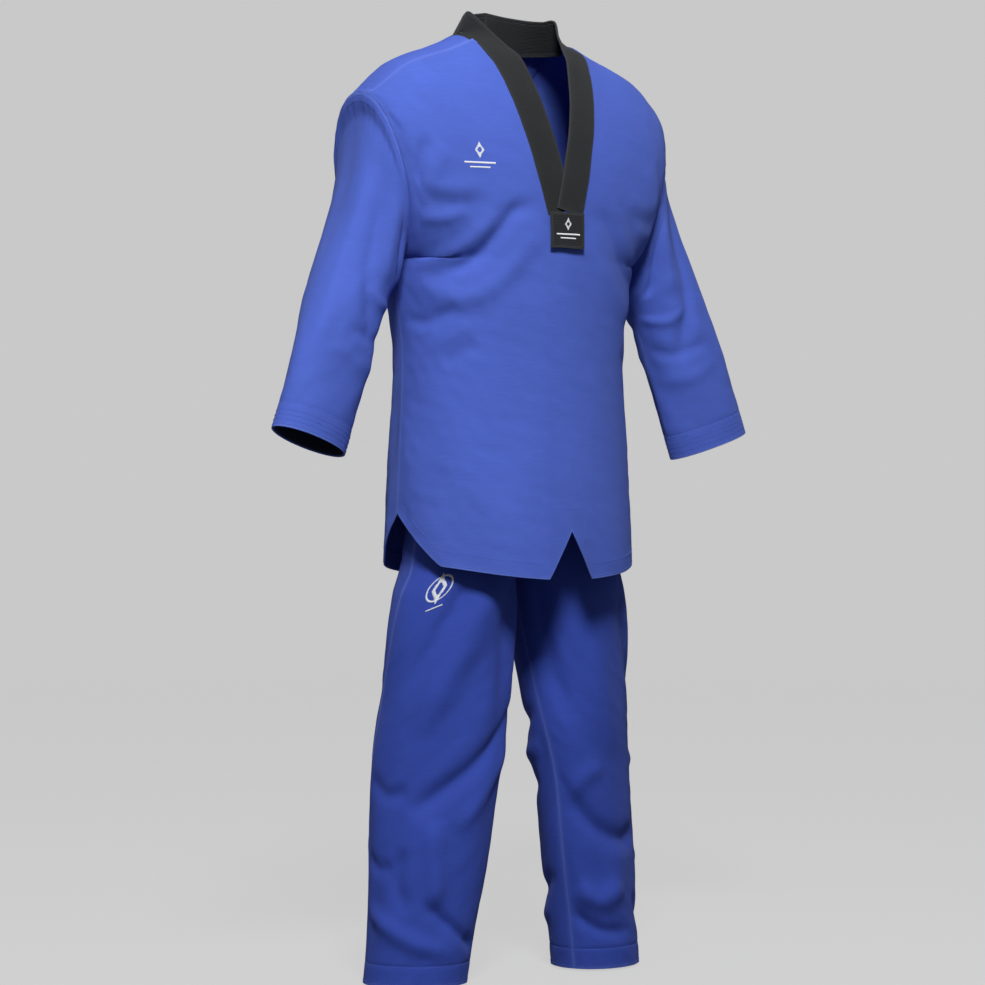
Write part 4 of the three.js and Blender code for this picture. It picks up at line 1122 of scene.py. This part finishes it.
def elastic_ring(u, z):
    u, z = np.broadcast_arrays(np.asarray(u, float), np.asarray(z, float))
    turn = u * math.pi - QUARTER
    return stack(TROUSER_HALF_WIDTH * np.cos(turn), TROUSER_HALF_DEPTH * np.sin(turn), z)


elastic_shell = Shell(elastic_ring, lambda u, z: 0.0001 * np.sin(u * 90), flip=1)
elastic = cloth_sheet("waist_elastic_band", elastic_shell,
                      *np.meshgrid(np.linspace(-0.988, 0.988, 160),
                                   np.linspace(SEAT_TOP + 0.003, TROUSER_TOP - 0.005, 8)),
                      0.0016, elastic_cloth)
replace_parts(elastic, "waist_elastic")


def gusset_point(x, turn):
    radius = HIP_RADIUS - CLOTH / 2 - GAP
    x, turn = np.broadcast_arrays(np.asarray(x, float), np.asarray(turn, float))
    return stack(x, -radius * np.sin(turn), HIP_PIVOT - radius * np.cos(turn))


gusset_shell = Shell(gusset_point, lambda x, t: 0.0003 * np.sin(x * 260) * np.sin(t * 30), flip=1)
gusset = cloth_sheet("crotch_gusset_cloth", gusset_shell,
                     *np.meshgrid(np.linspace(-0.035, 0.035, 16), np.radians(np.linspace(-20, 20, 18))),
                     CLOTH, trouser_cloth)
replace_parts(gusset, "crotch_gusset")


# ---------------- stitching ----------------

def hem_path(side, above, low, high, count=700):
    a = np.linspace(low, high, count)
    return seam_row(front if side == FRONT else back, a,
                    np.interp(a, columns, row_line(side, above)))


almost = QUARTER * 0.985
front_hem_stitching = stitched("front_hem_stitching", [
    hem_path(FRONT, 0.0035, -almost, almost), hem_path(FRONT, 0.0215, -almost * 0.97, -0.205),
    hem_path(FRONT, 0.0215, 0.205, almost * 0.97)], blue_thread)
back_hem_stitching = stitched("back_hem_stitching", [
    hem_path(BACK, 0.0035, -almost, almost), hem_path(BACK, 0.0215, -almost * 0.97, almost * 0.97)],
    blue_thread)
box_side = QUARTER / 12
box_rows = row_of_height(np.linspace(HEM_HEIGHT + NOTCH_HEIGHT - 0.012, SLIT_TOP - 0.004, 60))
notch_stitching = stitched("notch_stitching", [
    seam_row(front, -box_side, box_rows), seam_row(front, box_side, box_rows),
    seam_row(front, np.linspace(-box_side, box_side, 40), box_rows[-1])], blue_thread)

shoulder_rows = []
for sign in (-1, 1):
    a = np.linspace(0.6, QUARTER - 0.03, 260) * sign
    for behind in (0.003, 0.009):
        shoulder_rows.append(seam_row(back, a, 4 - shoulder_seam(a) - behind / SHOULDER_LENGTH))
shoulder_stitching = stitched("shoulder_stitching", shoulder_rows, blue_thread)

sleeve_stitching = {}
ring_u = np.linspace(-0.995, 0.995, 900)
for label, shell in sleeve_shells.items():
    cuff = [seam_row(shell, ring_u, d / SLEEVE_LENGTH) for d in (0.004, 0.011, 0.018, 0.025, 0.0345)]
    head = [seam_row(shell, ring_u, 1 - d / SLEEVE_LENGTH) for d in (0.005, 0.012)]
    sleeve_stitching[label] = stitched(f"{label}_sleeve_stitching", cuff + head, blue_thread)

collar_rows = []
for label, shell in band_shells.items():
    for v in (0.09, 0.91):
        u = np.linspace(0.004, 0.996, 900)
        collar_rows.append(seam_row(shell, u, v, BAND_THICKNESS / 2 + 0.0001))
collar_stitching = stitched("collar_stitching", collar_rows, black_thread)

inset = 0.0025
box = [(-1, 1, PATCH_LOW, PATCH_LOW), (1, 1, PATCH_LOW, PATCH_HIGH), (1, -1, PATCH_HIGH, PATCH_HIGH),
       (-1, -1, PATCH_HIGH, PATCH_LOW)]
edge_x = V_BOTTOM_HALF_WIDTH - inset
patch_stitching = stitched("patch_stitching", [
    seam_row(patch_shell, np.linspace(x0 * edge_x, x1 * edge_x, 60),
             np.clip(np.linspace(z0, z1, 60), PATCH_LOW + inset, PATCH_HIGH - inset),
             PATCH_LIFT + TRIM / 2 + 0.0001) for x0, x1, z0, z1 in box], black_thread)

leg_stitching = {}
for (label, side), shell in leg_shells.items():
    top = leg_top(side, parts)[..., 2]
    leg_stitching[label, side] = stitched(
        f"{label}_leg_{'front' if side == FRONT else 'back'}_stitching",
        [seam_row(shell, parts, d / top) for d in (0.004, 0.0285)], trouser_thread)
waist_stitching = stitched("waistband_stitching", [
    seam_row(waist_shell, np.linspace(-0.995, 0.995, 1500), v, 0.0006) for v in (0.12, 0.36)],
    trouser_thread)


# ---------------- bodies --------------------------


for one in (jacket_front, front_hem_stitching, notch_facing, notch_stitching):
    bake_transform(one)
for one in (jacket_back, back_hem_stitching):
    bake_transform(one)
for one in (right_front_hem_facing, left_front_hem_facing):
    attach(one, "front_flap")
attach(back_hem_facing, "back_flap")
for one in (*slit_tacks, shoulder_stitching, *bands["left"], *bands["right"], collar_stitching,
            lapel_patch, patch_emblem, patch_stitching, chest_emblem):
    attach(one, "jacket")
for label, sign in (("left", 1), ("right", -1)):
    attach(sleeves[label][1], f"arm_{label}")
    for one in (sleeves[label][0], sleeve_stitching[label]):
        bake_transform(one)
for (label, side), (leg, facing) in legs.items():
    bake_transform(leg)
    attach(facing, f"leg_{label}")
    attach(leg_stitching[label, side], f"leg_{label}")
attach(thigh_emblem, "leg_right")
for one in (waistband, elastic, gusset, waist_stitching):
    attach(one, "trousers")


# ---------------- each side's pieces, looked up; nothing is measured ---

for label in ("left", "right"):
    sleeve, facing = sleeves[label]
    band, inner = bands[label]
    for side, name in ((FRONT, "front"), (BACK, "back")):
        leg, facing = legs[label, side]


# ---------------- floor ----------------

def studio(material):
    """A pale round floor that curves up into a low wall, so no edge shows behind the object."""
    level = cad_box[0][2] - 0.004
    profile_points = [(0.0, 0.0), (1.5, 0.0), (4.0, 0.0), (6.5, 0.0)]
    for t in np.linspace(0, QUARTER, 14)[1:]:
        profile_points.append((6.5 + 1.6 * math.sin(t), 1.6 * (1 - math.cos(t))))
    profile_points.append((8.1, 3.4))
    turns = np.linspace(0, 2 * math.pi, 97)[:-1]
    points = [(r * math.cos(t), r * math.sin(t), level + z) for r, z in profile_points for t in turns]
    count = len(turns)
    faces = [(i * count + j, (i + 1) * count + j, (i + 1) * count + (j + 1) % count,
              i * count + (j + 1) % count) for i in range(len(profile_points) - 1) for j in range(count)]
    return new_object("studio_floor", points, faces, material)


floor_paint, shader = principled("floor_paint", (0.09, 0.09, 0.09), 0.95, specular=0.02)
shader.inputs["Emission Color"].default_value = (1, 1, 1, 1)
shader.inputs["Emission Strength"].default_value = 0.56
floor = studio(floor_paint)
floor.visible_diffuse = floor.visible_glossy = False
